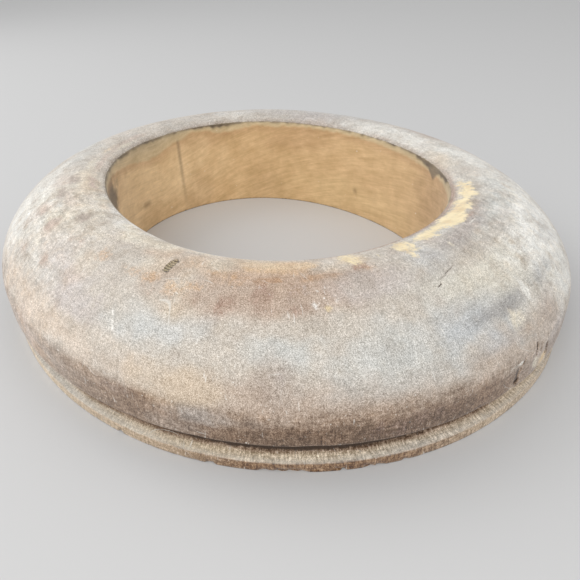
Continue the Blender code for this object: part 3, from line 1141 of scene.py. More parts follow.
@dataclass
class Coat:
    """Colours and wear of the block's surface, with painted shade and highlights, laid out as patches on the
    ring.

    Tints are broad and soft, and are laid in order. Stains have frayed edges. In the comments, left, right
    and front are those of the photo, which shows the block from an angle of about -36 degrees.
    """

    FAR_SEED = 11
    FAR_PATCHES = 46
    FAR_BLUR = 0.55

    sizes: BlockSizes
    section: Section
    stain_ground: float = 0.08  # weight of the taupe that the stains' colour falls back to
    plain_tooling: float = 0.10
    wall_tooling: float = 0.22
    groove_tooling: float = 0.42
    front_mottle: float = -0.62
    left_mottle: float = 0.3
    back_mottle: float = -0.35
    bare_strength: float = 1.4
    rim_soil: float = 0.45
    # darker along the bottom of the lip
    lip_foot_dark: float = 0.5
    # painted shade along the foot of the opening's wall, by the floor
    base_shade: float = 0.6
    joint_soil: float = 0.7
    # pale, dusty bottom of the groove with a painted highlight along the lip's top edge
    dust_and_highlight_strength: float = 0.6
    tints: tuple[Patch, ...] = Patch.rows(
        # left part of the dome, from the rim outwards
        (-113, 18, 16, 14, 0.6, Tone.CREAM), (-111, 7, 10, 5, 0.6, Tone.WARM_TAN, 0, 0.55),
        (120, 10, 110, 16, 0.35, Tone.SMOKE), (-117, 12, 8, 2.6, 0.8, Tone.CREAM, 0, 0.7),
        (-128, 9, 12, 1.8, 0.6, Tone.CREAM, 0, 0.7), (-134, 4.5, 16, 1.8, 0.6, Tone.DUSTY_PINK, 0, 0.7),
        (-152, 6, 22, 1.8, 0.5, Tone.DUSTY_PINK, 0, 0.7), (-90, 14, 9, 8, 0.5, Tone.TAUPE, 0, 0.55),
        (-97, 3, 14, 4, 0.5, Tone.CHALK), (-53, 1.6, 10, 3, 0.6, Tone.CHALK),
        (-75, 13, 9, 6, 0.45, Tone.TAUPE, 0, 0.55), (-116, 34, 16, 18, 0.75, Tone.CHALK),
        (-110, 52, 22, 12, 0.7, Tone.CHALK), (-94, 24, 26, 20, 0.45, Tone.CREAM),
        (-84, 3.5, 14, 5, 0.75, Tone.CHALK), (-58, 2.5, 30, 3, 0.5, Tone.CREAM),
        # the chalk row at -66 degrees and run 0.6 is a painted highlight along the front edge of the rim
        (-66, 0.6, 50, 2, 0.75, Tone.CHALK, 0, 0.7), (-82, 38, 26, 12, 0.5, Tone.LAVENDER),
        (-105, 34, 5, 9, 0.6, Tone.DUSTY_PINK, 6, 0.55), (-95, 31, 5, 6, 0.5, Tone.DUSTY_PINK, 0, 0.55),
        (-78, 38, 5, 9, 0.5, Tone.DUSTY_PINK, 10, 0.55), (-97, 48, 6, 4, 0.6, Tone.DUSTY_PINK, 0, 0.55),
        (-80, 62, 54, 8, 0.65, Tone.ROSE_TAN, 0, 0.7), (-73, 50, 14, 6, 0.5, Tone.LAVENDER, 0, 0.55),
        # front of the dome
        (-46, 13, 34, 12, 0.55, Tone.ORANGE_TAN, 0, 0.7), (-34, 9.5, 12, 5, 0.75, Tone.BRIGHT_TAN, 0, 0.55),
        (-40, 8, 8, 5, 0.5, Tone.CREAM_TAN, 0, 0.55), (-42, 27, 40, 12, 0.5, Tone.TAN_BROWN, 0, 0.6),
        (-43, 30, 26, 9, 0.35, Tone.TAN_BROWN), (-22, 20, 20, 7, 0.4, Tone.TAN_BROWN, 0, 0.7),
        (-57, 46, 24, 8, 0.75, Tone.COOL_GREY, 0, 0.55), (-56, 46, 20, 6, 0.25, Tone.BLUE_GREY, -10),
        (-36, 48, 18, 7, 0.7, Tone.COOL_GREY, 0, 0.55), (-18, 50, 30, 9, 0.6, Tone.COOL_GREY, 0, 0.7),
        (-18, 60, 34, 8, 0.5, Tone.COOL_GREY, 0, 0.7), (-52, 63, 20, 7, 0.6, Tone.WARM_TAN, 0, 0.55),
        (-38, 58, 8, 9, 0.6, Tone.TAUPE, 0, 0.55),
        # right part of the dome
        (-18, 25, 14, 7, 0.5, Tone.LAVENDER, 0, 0.55), (-4, 22, 7, 9, 0.6, Tone.BLUE_GREY, 0, 0.7),
        (22, 38, 56, 30, 0.45, Tone.PALE_SAGE, 0, 0.6), (2, 34, 30, 20, 0.35, Tone.COOL_GREY, 0, 0.6),
        (9, 36, 30, 9, 0.65, Tone.CREAM, 0, 0.7), (20, 36, 22, 9, 0.6, Tone.CHALK),
        (14, 16, 30, 5, 0.7, Tone.PURPLE_GREY, -6, 0.55), (30, 24, 18, 10, 0.55, Tone.COOL_GREY, 0, 0.55),
        (38, 40, 34, 16, 0.9, Tone.CHALK, 0, 0.7), (22, 44, 10, 12, 0.6, Tone.CHALK, 0, 0.7),
        (58, 22, 26, 14, 0.8, Tone.CHALK, 0, 0.7), (-6, 50, 16, 7, 0.6, Tone.BLUE_GREY),
        (2.4, 50.6, 16, 3.2, 0.9, Tone.SMOKE, 0, 0.7), (13, 63, 10, 7, 0.5, Tone.DUSTY_PINK, 0, 0.7),
        (31, 47, 8, 5, 0.5, Tone.SMOKE, 0, 0.7), (11, 64, 12, 8, 0.45, Tone.TAUPE, 0, 0.7),
        (26, 60, 14, 9, 0.9, Tone.CHALK, 0, 0.55),
        # wall
        (-48, 73.5, 9, 3, 0.65, Tone.SMOKE), (-44.5, 73.6, 20, 2.8, 0.55, Tone.TAUPE),
        (-62, 72, 7, 2.4, 0.4, Tone.PURPLE_GREY), (-53, 81, 12, 3.5, 0.5, Tone.TAUPE, 0, 0.55),
        (-77, 78, 15, 8, 0.6, Tone.TAUPE, 0, 0.55), (-88, 78, 18, 9, 0.6, Tone.DUSTY_PINK, 0, 0.55),
        (14, 79, 20, 9, 0.5, Tone.LAVENDER, 0, 0.55), (13, 79.5, 14, 5, 0.6, Tone.EARTH),
        (-74, 80, 14, 4, 0.4, Tone.EARTH), (-17, 80.5, 9, 4, 0.4, Tone.DARK_BROWN),
        # smaller ones anywhere, over the others
        (-90, 45, 22, 5, 0.4, Tone.CHALK), (-126, 30, 9, 8, 0.7, Tone.CHALK),
        (-63, 20, 6, 5, 0.35, Tone.CREAM), (1, 11, 4, 3, 0.6, Tone.TAUPE),
        (-80, 80, 10, 4, 0.4, Tone.ORANGE_TAN), (-21, 70, 24, 4, 0.45, Tone.EARTH),
        (8, 26, 34, 4, 0.45, Tone.TAUPE), (-8, 10, 6, 4, 0.45, Tone.TAUPE),
        (16, 50.4, 10, 2.6, 0.5, Tone.SMOKE), (-3, 60, 14, 5, 0.55, Tone.BLUE_GREY),
        (32, 41, 26, 9, 0.32, Tone.DUST), (18, 62, 9, 6, 0.6, Tone.CHALK),
        (88, 8, 34, 9, 0.7, Tone.CHALK, 0, 0.7), (60.7, 4.2, 9, 5, 0.45, Tone.WARM_TAN),
        (49.8, 12.8, 9, 6, 0.6), (40.3, 18.8, 8, 6, 0.5, Tone.COOL_GREY), (151.5, 5, 16, 4, 0.5),
        (-107.5, 10, 8, 5, 0.4, Tone.WARM_TAN), (-97, 29, 8, 6, 0.6, Tone.CREAM),
        (-98, 17.5, 8, 5, 0.45, Tone.CREAM), (-118, 9.5, 9, 5, 0.5, Tone.WARM_TAN),
        (-117.5, 22, 10, 4.5, 0.5, Tone.DUSTY_PINK), (-104, 18, 14, 3.6, 0.5, Tone.DUSTY_PINK),
        (-105, 14, 5, 2.6, 0.5, Tone.CREAM), (-105.5, 26, 8, 3.6, 0.45, Tone.CHALK),
        (-100, 3, 5, 3.6, 0.75, Tone.CREAM), (-95, 5, 5, 2.6, 0.6, Tone.WARM_TAN),
        (-102, 10.5, 8, 3, 0.3, Tone.TAUPE), (-90, 9, 6, 3.6, 0.5, Tone.CREAM),
        (-80, 5, 5, 2.6, 0.55, Tone.CREAM), (-75, 9.5, 6, 4.2, 0.8, Tone.CREAM),
        (-70, 6, 6, 7, 0.65, Tone.CREAM), (-65, 4.5, 5, 6, 0.7, Tone.CREAM),
        (-65, 14, 5, 3, 0.3, Tone.TAN_BROWN), (-55, 1.5, 5, 2.2, 0.6, Tone.CREAM),
        (-57, 10, 7, 4, 0.35, Tone.ORANGE_TAN), (-50, 11, 5, 5, 0.6, Tone.CREAM),
        (-45, 2, 6, 2.4, 0.45, Tone.CREAM_TAN), (-30, 8, 5, 3, 0.45, Tone.WARM_TAN),
        (-20, 9, 5, 4, 0.6, Tone.CREAM_TAN), (-25, 12.5, 5, 3, 0.45, Tone.WARM_TAN),
        (-20, 20, 6, 5, 0.45, Tone.TAUPE), (-55, 29, 4, 17, 0.45, Tone.WARM_TAN),
        (-55, 38, 10, 5, 0.4, Tone.WARM_TAN), (-45, 24, 6, 4, 0.35, Tone.TAUPE),
        (-100, 35, 6, 3.4, 0.55, Tone.CHALK), (-105, 40, 6, 3.4, 0.55, Tone.CHALK),
        (-120, 35, 6, 4, 0.5, Tone.CHALK), (-89, 40, 9, 3.4, 0.35, Tone.TAUPE),
        (-78, 32, 9, 5, 0.45, Tone.CREAM))
    stains: tuple[Patch, ...] = (
        # frayed stains at the left of the dome
        *Patch.rows(
            (-115, 15, 9, 4, 0.85, Tone.TAUPE, -6), (-109, 21.5, 9, 3, 0.85, Tone.TAUPE, 8),
            (-105, 33, 9, 3.4, 0.85, Tone.DUSTY_PINK, 14), (-95.5, 31, 4, 4.4, 0.85, Tone.DUSTY_PINK),
            (-92.5, 17, 7, 3.6, 0.85, Tone.TAUPE, 10), (-113, 6, 10, 2.6, 0.85, Tone.DUSTY_PINK),
            (-84, 27, 6, 4, 0.7, Tone.DUSTY_PINK), (-88, 43, 7, 3, 0.7, Tone.DUSTY_PINK),
            (-70, 44, 6, 4, 0.4, Tone.LAVENDER), (-94.5, 41, 5, 1.6, 0.6, Tone.CREAM),
            (-102, 24, 8, 2.4, 0.6, Tone.CHALK, 12), (-99, 39, 8, 2.6, 0.6, Tone.CHALK, 8),
            ragged=0.6, lump=7),
        # thin pale streaks at the far left
        *Patch.rows(
            (-151, 3.4, 12, 1.6, 0.7, Tone.CREAM), (-142, 8, 12, 1.5, 0.6, Tone.CREAM_TAN),
            blur=0.7, ragged=0.6, lump=7),
        # wide, faint stains
        *Patch.rows(
            (-66, 26.5, 11, 3.6, 0.45, Tone.ORANGE_TAN), (-75, 25.4, 4, 3.4, 0.6, Tone.ORANGE_TAN),
            (-56, 33, 12, 6.5, 0.4, Tone.RUST), (-34, 70, 40, 1.6, 0.35, Tone.EARTH),
            (-59, 72.5, 10, 3, 0.5, Tone.DARK_BROWN), (-20, 79, 18, 5, 0.5, Tone.DARK_RED), blur=0.9),
        # orange ones around the print of the thread
        *Patch.rows(
            (-62, 27, 5, 2.6, 0.65, Tone.ORANGE_TAN), (-56, 28.4, 6, 4.6, 0.6, Tone.BRIGHT_TAN),
            (-53, 26, 4.4, 3.4, 0.75, Tone.ORANGE_TAN), (-54, 15, 9, 3, 0.45, Tone.ORANGE_TAN),
            (-48, 18.6, 8, 4.4, 0.6, Tone.ORANGE_TAN), (-51.6, 22, 6, 3, 0.4, Tone.PURPLE_GREY),
            (-17, 16, 5, 3, 0.5, Tone.ORANGE_TAN), lump=6),
        # streaks along the front of the rim
        *Patch.rows(
            (-39.5, 19.2, 13, 1.9, 0.85, Tone.RUST_ORANGE), (-28.4, 17.8, 9, 1.8, 0.85, Tone.RUST_ORANGE),
            (-33, 14.6, 9, 1.5, 0.6, Tone.ORANGE_TAN), (-39, 12.8, 7, 1.8, 0.6, Tone.BRIGHT_TAN),
            (-31.4, 9.4, 8, 2.6, 0.7, Tone.BRIGHT_TAN), (-38, 10, 3.6, 1, 0.8, Tone.CREAM_TAN, -10),
            (-33.6, 10.8, 4.4, 1, 0.8, Tone.CREAM_TAN, -10), (-30.4, 8.8, 3.6, 1.2, 0.7, Tone.CREAM_TAN, -10),
            blur=0.7, ragged=0.6, lump=5),
        # pale chips at the front
        *Patch.rows(
            (-28.2, 33, 1.8, 1.2, 0.9, Tone.OLIVE_CREAM), (-26.6, 30.6, 1.2, 2.2, 0.7, Tone.DUST, 20),
            (-30.6, 31.6, 1, 1.6, 0.7, Tone.DUST, -20), blur=0.7, ragged=0.6, lump=3),
        # firmer stains
        *Patch.rows(
            (-19, 15, 4.4, 2.4, 0.75, Tone.RED_BROWN), (-26, 19, 5, 3, 0.45, Tone.TAUPE),
            (13, 21, 3.4, 3.4, 0.7, Tone.TAUPE), (20, 12.5, 18, 2.4, 0.6, Tone.RUST),
            (3, 13.5, 9, 1.8, 0.5, Tone.PURPLE_GREY), (5, 66, 5, 4, 0.6, Tone.SMOKE),
            (-86.5, 76, 3.6, 5, 0.6, Tone.ORANGE_TAN), (8.6, 80.5, 5, 4.4, 0.85, Tone.CREAM_TAN), blur=0.7),
        # row of dashes
        *Patch.rows(
            (-65.2, 45, 0.8, 1.3, 0.9, Tone.DUST, 8), (-64.7, 48, 0.8, 1.3, 0.9, Tone.DUST, 8),
            (-64.2, 51.2, 0.8, 1.3, 0.9, Tone.DUST, 8), blur=0.6, ragged=0.2, lump=3),
        # pale streaks on the wall, beside the joint
        *Patch.rows(
            (0.5, 72.7, 4, 0.6, 0.7, Tone.CHALK, 3), (1.3, 72.5, 1.8, 0.8, 0.8, Tone.CHALK, 3),
            blur=0.6, ragged=0.2),
        # pale flecks at the right
        *Patch.rows(
            (-0.3, 83.4, 1.6, 0.8, 0.9, Tone.CREAM_TAN), (16, 15.4, 4, 0.9, 0.8, Tone.CHALK),
            (3.4, 18.5, 1.1, 2.6, 0.7, Tone.CREAM, 10), blur=0.6),
        # others
        *Patch.rows(
            (-59.6, 18.2, 1.8, 4.4, 1, Tone.OLIVE_BROWN, 9, 0.15, 0), (-46, 31.6, 5.5, 6, 0.62, Tone.RUST),
            (-39.8, 27, 4.5, 7, 0.62, Tone.RUST), (-33.6, 32, 3.6, 5.6, 0.6, Tone.RUST),
            (-33, 25, 5, 4, 0.4, Tone.PURPLE_GREY), (-38, 56, 5.5, 4.5, 0.3, Tone.PURPLE_GREY),
            (8.8, 50, 2, 4.8, 0.95, Tone.CHALK, 6, 0.7, 0.5, 5),
            (3.4, 56.6, 3.8, 4.6, 0.85, Tone.CREAM, 0, 0.8, 0.5, 5),
            (5.7, 78.6, 2, 2.6, 0.75, Tone.CREAM, 0, 0.6, 0.3)),
    )
    bare_places: tuple[Patch, ...] = (
        *Patch.rows(
            (-20, 8, 4.4, 5.4, 0.82), (-13, 9.5, 2.4, 4.5, 0.46), (-6, 8, 4, 5.8, 0.82),
            (-6.6, 14.5, 1.2, 3.6, 0.66), (32, 6.4, 13, 4.6, 0.82), (8.6, 80.2, 4.2, 3.8, 0.8),
            blur=0.7, lump=6),
        *Patch.rows(
            (5.6, 6.8, 9, 4.8, 0.88), (26, 6.2, 10, 4.4, 0.84), (19, 7, 19, 5.4, 0.88), blur=0.6, lump=6),
        *Patch.rows(
            (-33, 8, 4, 4, 0.34, Tone.GREIGE, 0, 0.8, 0.5, 6)),
    )
    pine_tints: tuple[Patch, ...] = Patch.rows(
        (100, -46, 60, 12, 0.6, Tone.PINE_PALE), (52, -16, 18, 12, 0.6, Tone.PINE_BROWN),
        (60, -38, 16, 16, 0.35, Tone.PINE_BROWN), (128, -13, 26, 6, 0.5, Tone.PINE_PINK),
        (172, -10, 18, 6, 0.6, Tone.PINE_PINK), (215, -13, 22, 5, 0.6, Tone.PINE_PINK),
        (176, -44, 10, 14, 0.6, Tone.PINE_BROWN), (141, -46, 12, 12, 0.3, Tone.PINE_BROWN, 0, 0.95),
        (214, -30, 56, 30, 1, Tone.PINE_LIGHT), (206.5, -39.8, 4, 1.5, 0.6, Tone.LIP_BROWN, -10, 0.6, 0.2),
        (99.5, -38.6, 1.6, 1.4, 0.5, Tone.LIP_BROWN, 0, 0.6, 0.2),
        (238, -13, 13, 15, 0.95, Tone.SMUDGE, 0, 0.45, 0.35, 6))
    # the next two tables: how brown the lower dome and the wall are by angle, partly their own colour and
    # partly painted shade
    low_brown_and_shade: Pairs = (
        (-180, 0.25), (-100, 0.1), (-76, 0), (-60, 0.15), (-50, 0.3), (-40, 0.6), (-28, 0.6), (-18, 0.4),
        (-6, 0.4), (4, 0.4), (16, 0.1), (60, 0.2))
    wall_dark_and_shade: Pairs = (
        (-180, 0.6), (-120, 0.5), (-94, 0.3), (-84, 0.34), (-74, 0.46), (-62, 0.6), (-48, 0.62), (-36, 1),
        (-12, 1), (-5, 0.72), (1, 0.45), (8, 0.28), (16, 0.24), (40, 0.5), (90, 0.6))
    pale_lip: Pairs = (
        (-180, 0.3), (-110, 0.6), (-84, 0.9), (-70, 0.6), (-58, 0.45), (-50, 0.22), (-43, 0), (-20, 0),
        (-10, 0.3), (-3, 0.6), (20, 0.6), (60, 0.3))
    pale_groove: Pairs = (
        (-180, 0.3), (-90, 0.1), (-80, 0.3), (-70, 0.5), (-50, 0.8), (-40, 0.55), (-30, 0.5), (-20, 0.15),
        (-10, 0.2), (0, 0.5), (10, 0.7), (22, 0.7), (60, 0.3))
    grey_groove: Pairs = (
        (-180, 0.2), (-92, 0.5), (-76, 0.5), (-62, 0.2), (-50, 0), (-30, 0.1), (-18, 0.3), (-8, 0.2),
        (0, 0.1), (10, 0), (60, 0.2))
    # painted shade in the upper part of the groove, under the wall's edge, by angle; above 1.1 it paints
    # near-black
    groove_shade: Pairs = (
        (-180, 0.7), (-110, 0.5), (-84, 0.15), (-74, 0.3), (-64, 0.7), (-54, 1.1), (-46, 1.2), (-26, 1.2),
        (-18, 0.75), (-10, 0.35), (-4, 0.15), (16, 0.1), (40, 0.5), (90, 0.7))
    cut_marks: Pairs = (
        (-180, 0.5), (-110, 0.3), (-84, 0.15), (-54, 0.2), (-42, 0.7), (-34, 1), (-12, 1), (-2, 0.6),
        (10, 0.35), (60, 0.5))
    band_edge: Pairs = (
        (0, 3), (40, 6), (50, 5), (70, 4.6), (100, 3.2), (125, 2.8), (137, 4), (146, 3.4), (157, 6.2),
        (163, 6.2), (169, 3.8), (175, 3), (179, 5.4), (186, 7.8), (195, 12), (200, 12.3), (208, 10),
        (213, 8.4), (220, 7.2), (230, 5.4), (270, 4.4), (320, 3.4))
    smudge_edge: Pairs = (
        (0, 1), (44, 1), (48, 2.4), (55, 3.2), (57.2, 6), (58.5, 7.9), (60, 6.2), (62.5, 3.6), (67, 2.4),
        (72, 1.2), (110, 0.8), (128, 1.2), (150, 1.2), (159, 2.8), (165, 2.8), (169, 1.6), (180, 1.4),
        (190, 1.8), (196, 2.4), (204, 1.6), (214, 2), (222, 1.6), (230, 2), (300, 1))

    def paint(self, mesh: bpy.types.Mesh, surface: Surface, on_skin: np.ndarray, dirt_and_shade: np.ndarray) -> None:
        """Write the colours, the wear and the painted shade and highlights to the mesh.

        Args:
            mesh: the board's mesh.
            surface: where its vertices lie.
            on_skin: whether each vertex is on the skin, not inside the joint.
            dirt_and_shade: how dark the dent, chips and splits are at each vertex, from grime and painted
                shade.
        """
        bare, soil_and_shade, dust_and_highlight = self._wear(surface, dirt_and_shade)
        stain, cover = self._stain(surface)
        self._store(mesh, "coat_tint", "FLOAT_COLOR", self._coat_tint(surface), self._mottle(surface))
        self._store(mesh, "stain_tint", "FLOAT_COLOR", stain, cover)
        self._store(mesh, "wood_tint", "FLOAT_COLOR", self._wood_tint(surface), np.ones(len(bare)))
        self._store(mesh, "bare", "FLOAT", np.where(on_skin, bare, 1.0))
        self._store(mesh, "soil_and_shade", "FLOAT", np.where(on_skin, soil_and_shade, 0.0))
        self._store(mesh, "dust_and_highlight", "FLOAT", dust_and_highlight)
        self._store(mesh, "tooling", "FLOAT", self._tooling(surface))
        self._store(mesh, "hoop", "FLOAT_VECTOR", surface.hoop())
        self._store(mesh, "course", "FLOAT_VECTOR", surface.course())

    @staticmethod
    def _store(mesh: bpy.types.Mesh, name: str, kind: str, values: np.ndarray,
               alpha: Optional[np.ndarray] = None) -> None:
        """Add an attribute with a value for each vertex."""
        attribute = mesh.attributes.new(name, kind, "POINT")
        if alpha is not None:
            values = np.concatenate([values, alpha[:, None]], axis=1)
        word = {"FLOAT_COLOR": "color", "FLOAT": "value", "FLOAT_VECTOR": "vector"}[kind]
        attribute.data.foreach_set(word, np.ascontiguousarray(values, dtype=np.float32).ravel())

    @staticmethod
    def _lay(base: np.ndarray, layers: Iterable[tuple[Tone, np.ndarray]]) -> np.ndarray:
        """Return base colours with tones laid over them in order, each by a share for each point."""
        for tone, share in layers:
            weight = np.clip(share, 0.0, 1.0)[:, None]
            base = base * (1.0 - weight) + np.array(tone.colour) * weight
        return base

    def _far_side(self) -> tuple[Patch, ...]:
        """Return patches for the side that the photo doesn't show, like those it shows."""
        draw = np.random.default_rng(self.FAR_SEED)
        tones = (Tone.TAUPE, Tone.DUSTY_PINK, Tone.COOL_GREY, Tone.CREAM, Tone.WARM_TAN, Tone.CHALK,
                 Tone.LAVENDER, Tone.RUST, Tone.BLUE_GREY)
        # of the angle, the run, both reaches, the strength and the lean
        spans = ((64.0, 226.0), (6.0, 70.0), (8.0, 30.0), (4.0, 12.0), (0.3, 0.7), (-20.0, 20.0))
        patches = []
        for _ in range(self.FAR_PATCHES):
            tone = tones[draw.integers(len(tones))]
            *row, lean = (draw.uniform(*span) for span in spans)
            patches.append(Patch(*row, tone, lean, self.FAR_BLUR))
        return tuple(patches)

    def _coat_tint(self, surface: Surface) -> np.ndarray:
        """Return the colour of the coat at each point, with painted shade in the groove and down the wall and
        a painted highlight on the front of the rim.
        """
        section, run, turn = self.section, surface.run, surface.turn()
        lumps = surface.noise(9.0) + 0.4 * surface.noise(3.0)
        # darker brown down the lower dome and the wall: partly their own colour, partly painted shade where
        # the surface turns down
        dark = surface.follow(self.wall_dark_and_shade)
        fade = 5.0 + 6.0 * ease(-56.0, -40.0, turn)
        tint = self._lay(np.tile(np.array(Tone.GREIGE.colour), (len(run), 1)), (
            (Tone.TAN_BROWN, ease(54.0, 64.0, run + 2.0 * lumps) * surface.follow(self.low_brown_and_shade)),
            (Tone.EARTH, ease(66.0, 66.0 + fade, run + 1.2 * lumps) * np.minimum(1.0, 1.6 * dark)),
            (Tone.DARK_BROWN, ease(70.0, 80.0, run + 1.8 * lumps) * ease(0.3, 1.0, dark))))
        patches = self._far_side() + self.tints
        tint = self._lay(tint, ((patch.tone, patch.weight(surface)) for patch in patches))
        rim_line = ease(2.6, 0.6, np.abs(run - 0.4)) * ease(-0.9, 0.1, lumps)
        front_rim = ease(-130.0, -112.0, turn) * ease(-16.0, -34.0, turn)
        right_rim = ease(-34.0, -16.0, turn) * ease(60.0, 30.0, turn)
        down = self._down_groove(run) + 0.03 * lumps
        low_groove = ease(0.77, 0.88, down)
        on_lip = ease(section.lip_top - 0.7, section.lip_top + 0.3, run + 0.4 * lumps)
        return self._lay(tint, (
            (Tone.TAUPE, 0.5 * rim_line * (1.0 - front_rim)),
            (Tone.RUST, 0.8 * rim_line * right_rim),
            # painted shade in the groove: dark brown from the wall's foot, lightening through earth and warm
            # tan towards the lip
            (Tone.DARK_BROWN, ease(-0.02, 0.04, down)),
            (Tone.EARTH, ease(0.72, 0.78, down)),
            (Tone.WARM_TAN, ease(0.75, 0.83, down)),
            (Tone.CREAM_TAN, surface.follow(self.pale_groove) * low_groove),
            (Tone.COOL_GREY, surface.follow(self.grey_groove) * low_groove),
            (Tone.LIP_BROWN, on_lip),
            (Tone.CREAM_TAN, on_lip * surface.follow(self.pale_lip)),
            (Tone.CREAM, ease(-1.0, -2.6, run))))

    def _down_groove(self, run: np.ndarray) -> np.ndarray:
        """Return how far down the groove a run is: 0 at the wall's foot and 1 at the lip."""
        return (run - self.section.wall_foot) / (self.section.lip_top - self.section.wall_foot)

    def _stain(self, surface: Surface) -> tuple[np.ndarray, np.ndarray]:
        """Return the colour of the stains and how far they cover the coat at each point."""
        total = np.full(len(surface.run), self.stain_ground)
        colour = total[:, None] * np.array(Tone.TAUPE.colour)
        cover = np.zeros(len(surface.run))
        for stain in self.stains:
            weight = stain.weight(surface)
            total += weight
            colour += np.array(stain.tone.colour) * weight[:, None]
            cover = np.maximum(cover, weight)
        return colour / total[:, None], cover

    def _mottle(self, surface: Surface) -> np.ndarray:
        """Return how blotchy the coat is at each point: more at the left, less at the front and the back."""
        turn = surface.turn()
        front = ease(-88.0, -66.0, turn) * ease(14.0, -2.0, turn) * ease(72.0, 66.0, surface.run)
        front = front * (0.35 + 0.65 * ease(8.0, 26.0, surface.run))
        left = ease(-84.0, -94.0, turn) * ease(-112.0, -102.0, turn)
        back = np.maximum(ease(36.0, 56.0, turn), ease(-108.0, -122.0, turn))
        mottle = 1.0 + self.front_mottle * front + self.left_mottle * left + self.back_mottle * back
        return mottle * ease(84.5, 82.0, surface.run)

    def _joint_line(self, surface: Surface, outer: float, inner: float) -> np.ndarray:
        """Return 1 within the inner distance of the joint, and 0 beyond the outer one."""
        x, y = surface.place[:, 0], surface.place[:, 1]
        return ease(outer, inner, np.abs(y - self.sizes.joint(x)))

    def _wood_tint(self, surface: Surface) -> np.ndarray:
        """Return the colour of the bare wood at each point."""
        run, depth = surface.run, -surface.run
        fine = surface.noise(2.4, (1.0, 1.0, 1.6))
        inside = ease(0.4, -0.4, run)
        edge = surface.follow(self.band_edge) + 0.7 * fine
        below = ease(7.0, 1.0, depth - edge) * ease(-1.0, 1.0, depth - edge)
        band = inside * ease(1.3, -0.7, depth - edge)
        smudge = surface.follow(self.smudge_edge) + 0.9 * fine
        deep = ease(0.3, -0.9, depth - smudge) * ease(-0.5, 0.4, surface.noise(9.0))
        seam = self._joint_line(surface, 2.0, 0.0) * ease(5.0, 9.0, depth) * ease(62.0, 20.0, depth)
        worn = ease(-1.0, 1.0, run) * ease(94.0, 90.0, run)
        aged = np.maximum(0.5 * ease(0.0, 0.7, surface.noise(3.6)), ease(50.0, 60.0, run))
        pine = self._lay(np.tile(np.array(Tone.PINE.colour), (len(run), 1)),
                         ((patch.tone, patch.weight(surface)) for patch in self.pine_tints))
        return self._lay(pine, (
            (Tone.PINE_PINK, 0.55 * below),
            (Tone.OLIVE_CREAM, 0.85 * band),
            (Tone.OLIVE_GREY, 0.48 * band * ease(0.9, 0.2, depth / np.maximum(edge, 1.0))),
            (Tone.SMUDGE, 0.85 * inside * ease(1.3, -0.7, depth - smudge)),
            (Tone.SMUDGE_DARK, 0.8 * inside * deep),
            (Tone.DARK_BROWN, 0.5 * seam * (surface.place[:, 0] < 0.0)),
            (Tone.STRAW, worn),
            (Tone.STRAW_TAN, worn * aged)))

    def _tooling(self, surface: Surface) -> np.ndarray:
        """Return how strongly the marks of the cutter, which run down the section, show at each point."""
        section, run = self.section, surface.run
        wall = self.wall_tooling * ease(66.0, 74.0, run)
        groove = self.groove_tooling * ease(section.wall_foot - 0.5, section.wall_foot + 1.0, run)
        marks = self.plain_tooling + wall + groove * surface.follow(self.cut_marks)
        return marks * ease(section.lip_foot + 1.0, section.lip_foot, run)

    def _wear(self, surface: Surface, dirt_and_shade: np.ndarray) -> tuple[np.ndarray, np.ndarray, np.ndarray]:
        """Return how bare each point is, how dark from grime and painted shade, and how pale from dusty
        ground and a painted highlight.
        """
        section, run, depth = self.section, surface.run, -surface.run
        x, z = surface.place[:, 0], surface.place[:, 2]
        bare = np.maximum.reduce([
            *(patch.weight(surface) for patch in self.bare_places),
            self.bare_strength * ease(0.2, 1.2, depth),
            self.bare_strength * ease(section.lip_foot + 0.5, section.lip_foot + 2.0, run)])
        down = self._down_groove(run + 0.35 * surface.noise(1.6))
        # painted shade: a dark line in the upper part of the groove, under the wall's edge
        groove_shade_line = ease(-0.03, 0.03, down) * ease(0.78, 0.66, down) * surface.follow(self.groove_shade)
        end_joint = self._joint_line(surface, 1.7, 0.3) * ease(7.0, 2.0, np.abs(run - 78.0)) * (x > 0.0)
        # grime and painted shade together
        soil_and_shade = np.maximum.reduce([
            dirt_and_shade,
            self.rim_soil * ease(1.2, 0.0, np.abs(run + 0.2)),
            groove_shade_line,
            # darker along the bottom of the lip
            self.lip_foot_dark * ease(1.8, 0.3, z + 0.5 * surface.noise(1.6)) * (run > 90.0),
            # painted shade at the foot of the opening's wall, where it meets the floor
            self.base_shade * ease(1.3, 0.0, z) * (depth > 3.0),
            self.joint_soil * end_joint])
        # pale at the bottom of the groove and on the lip's top edge: dusty, with a painted highlight along
        # the edge
        low = ease(0.84, 0.95, down) * ease(section.lip_top + 0.8, section.lip_top, run)
        dust_and_highlight = self.dust_and_highlight_strength * low
        return bare, soil_and_shade, dust_and_highlight


@dataclass
class BrimBlock:
    """The whole block: two carved boards and the dowels in their joint."""

    sizes: BlockSizes = BlockSizes()
    dowels: tuple[str, ...] = ("front_inner_dowel", "front_outer_dowel", "back_inner_dowel",
                               "back_outer_dowel")

    def build(self) -> None:
        """Build the boards around the joint and dress the dowels."""
        section = Section(self.sizes)
        for side in Side:
            board = Board(side, self.sizes, section).build(self.dowels)
            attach(board, "root")
            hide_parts(f"{side.word}_board")
            LOG.info("%s: %d faces, rides on root", board.name, len(board.data.polygons))
        wood = DowelFinish().build()
        for name in self.dowels:
            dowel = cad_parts[name]
            for slot in dowel.material_slots:
                slot.material = wood
            LOG.info("%s: packed shape with the finish %s", name, wood.name)


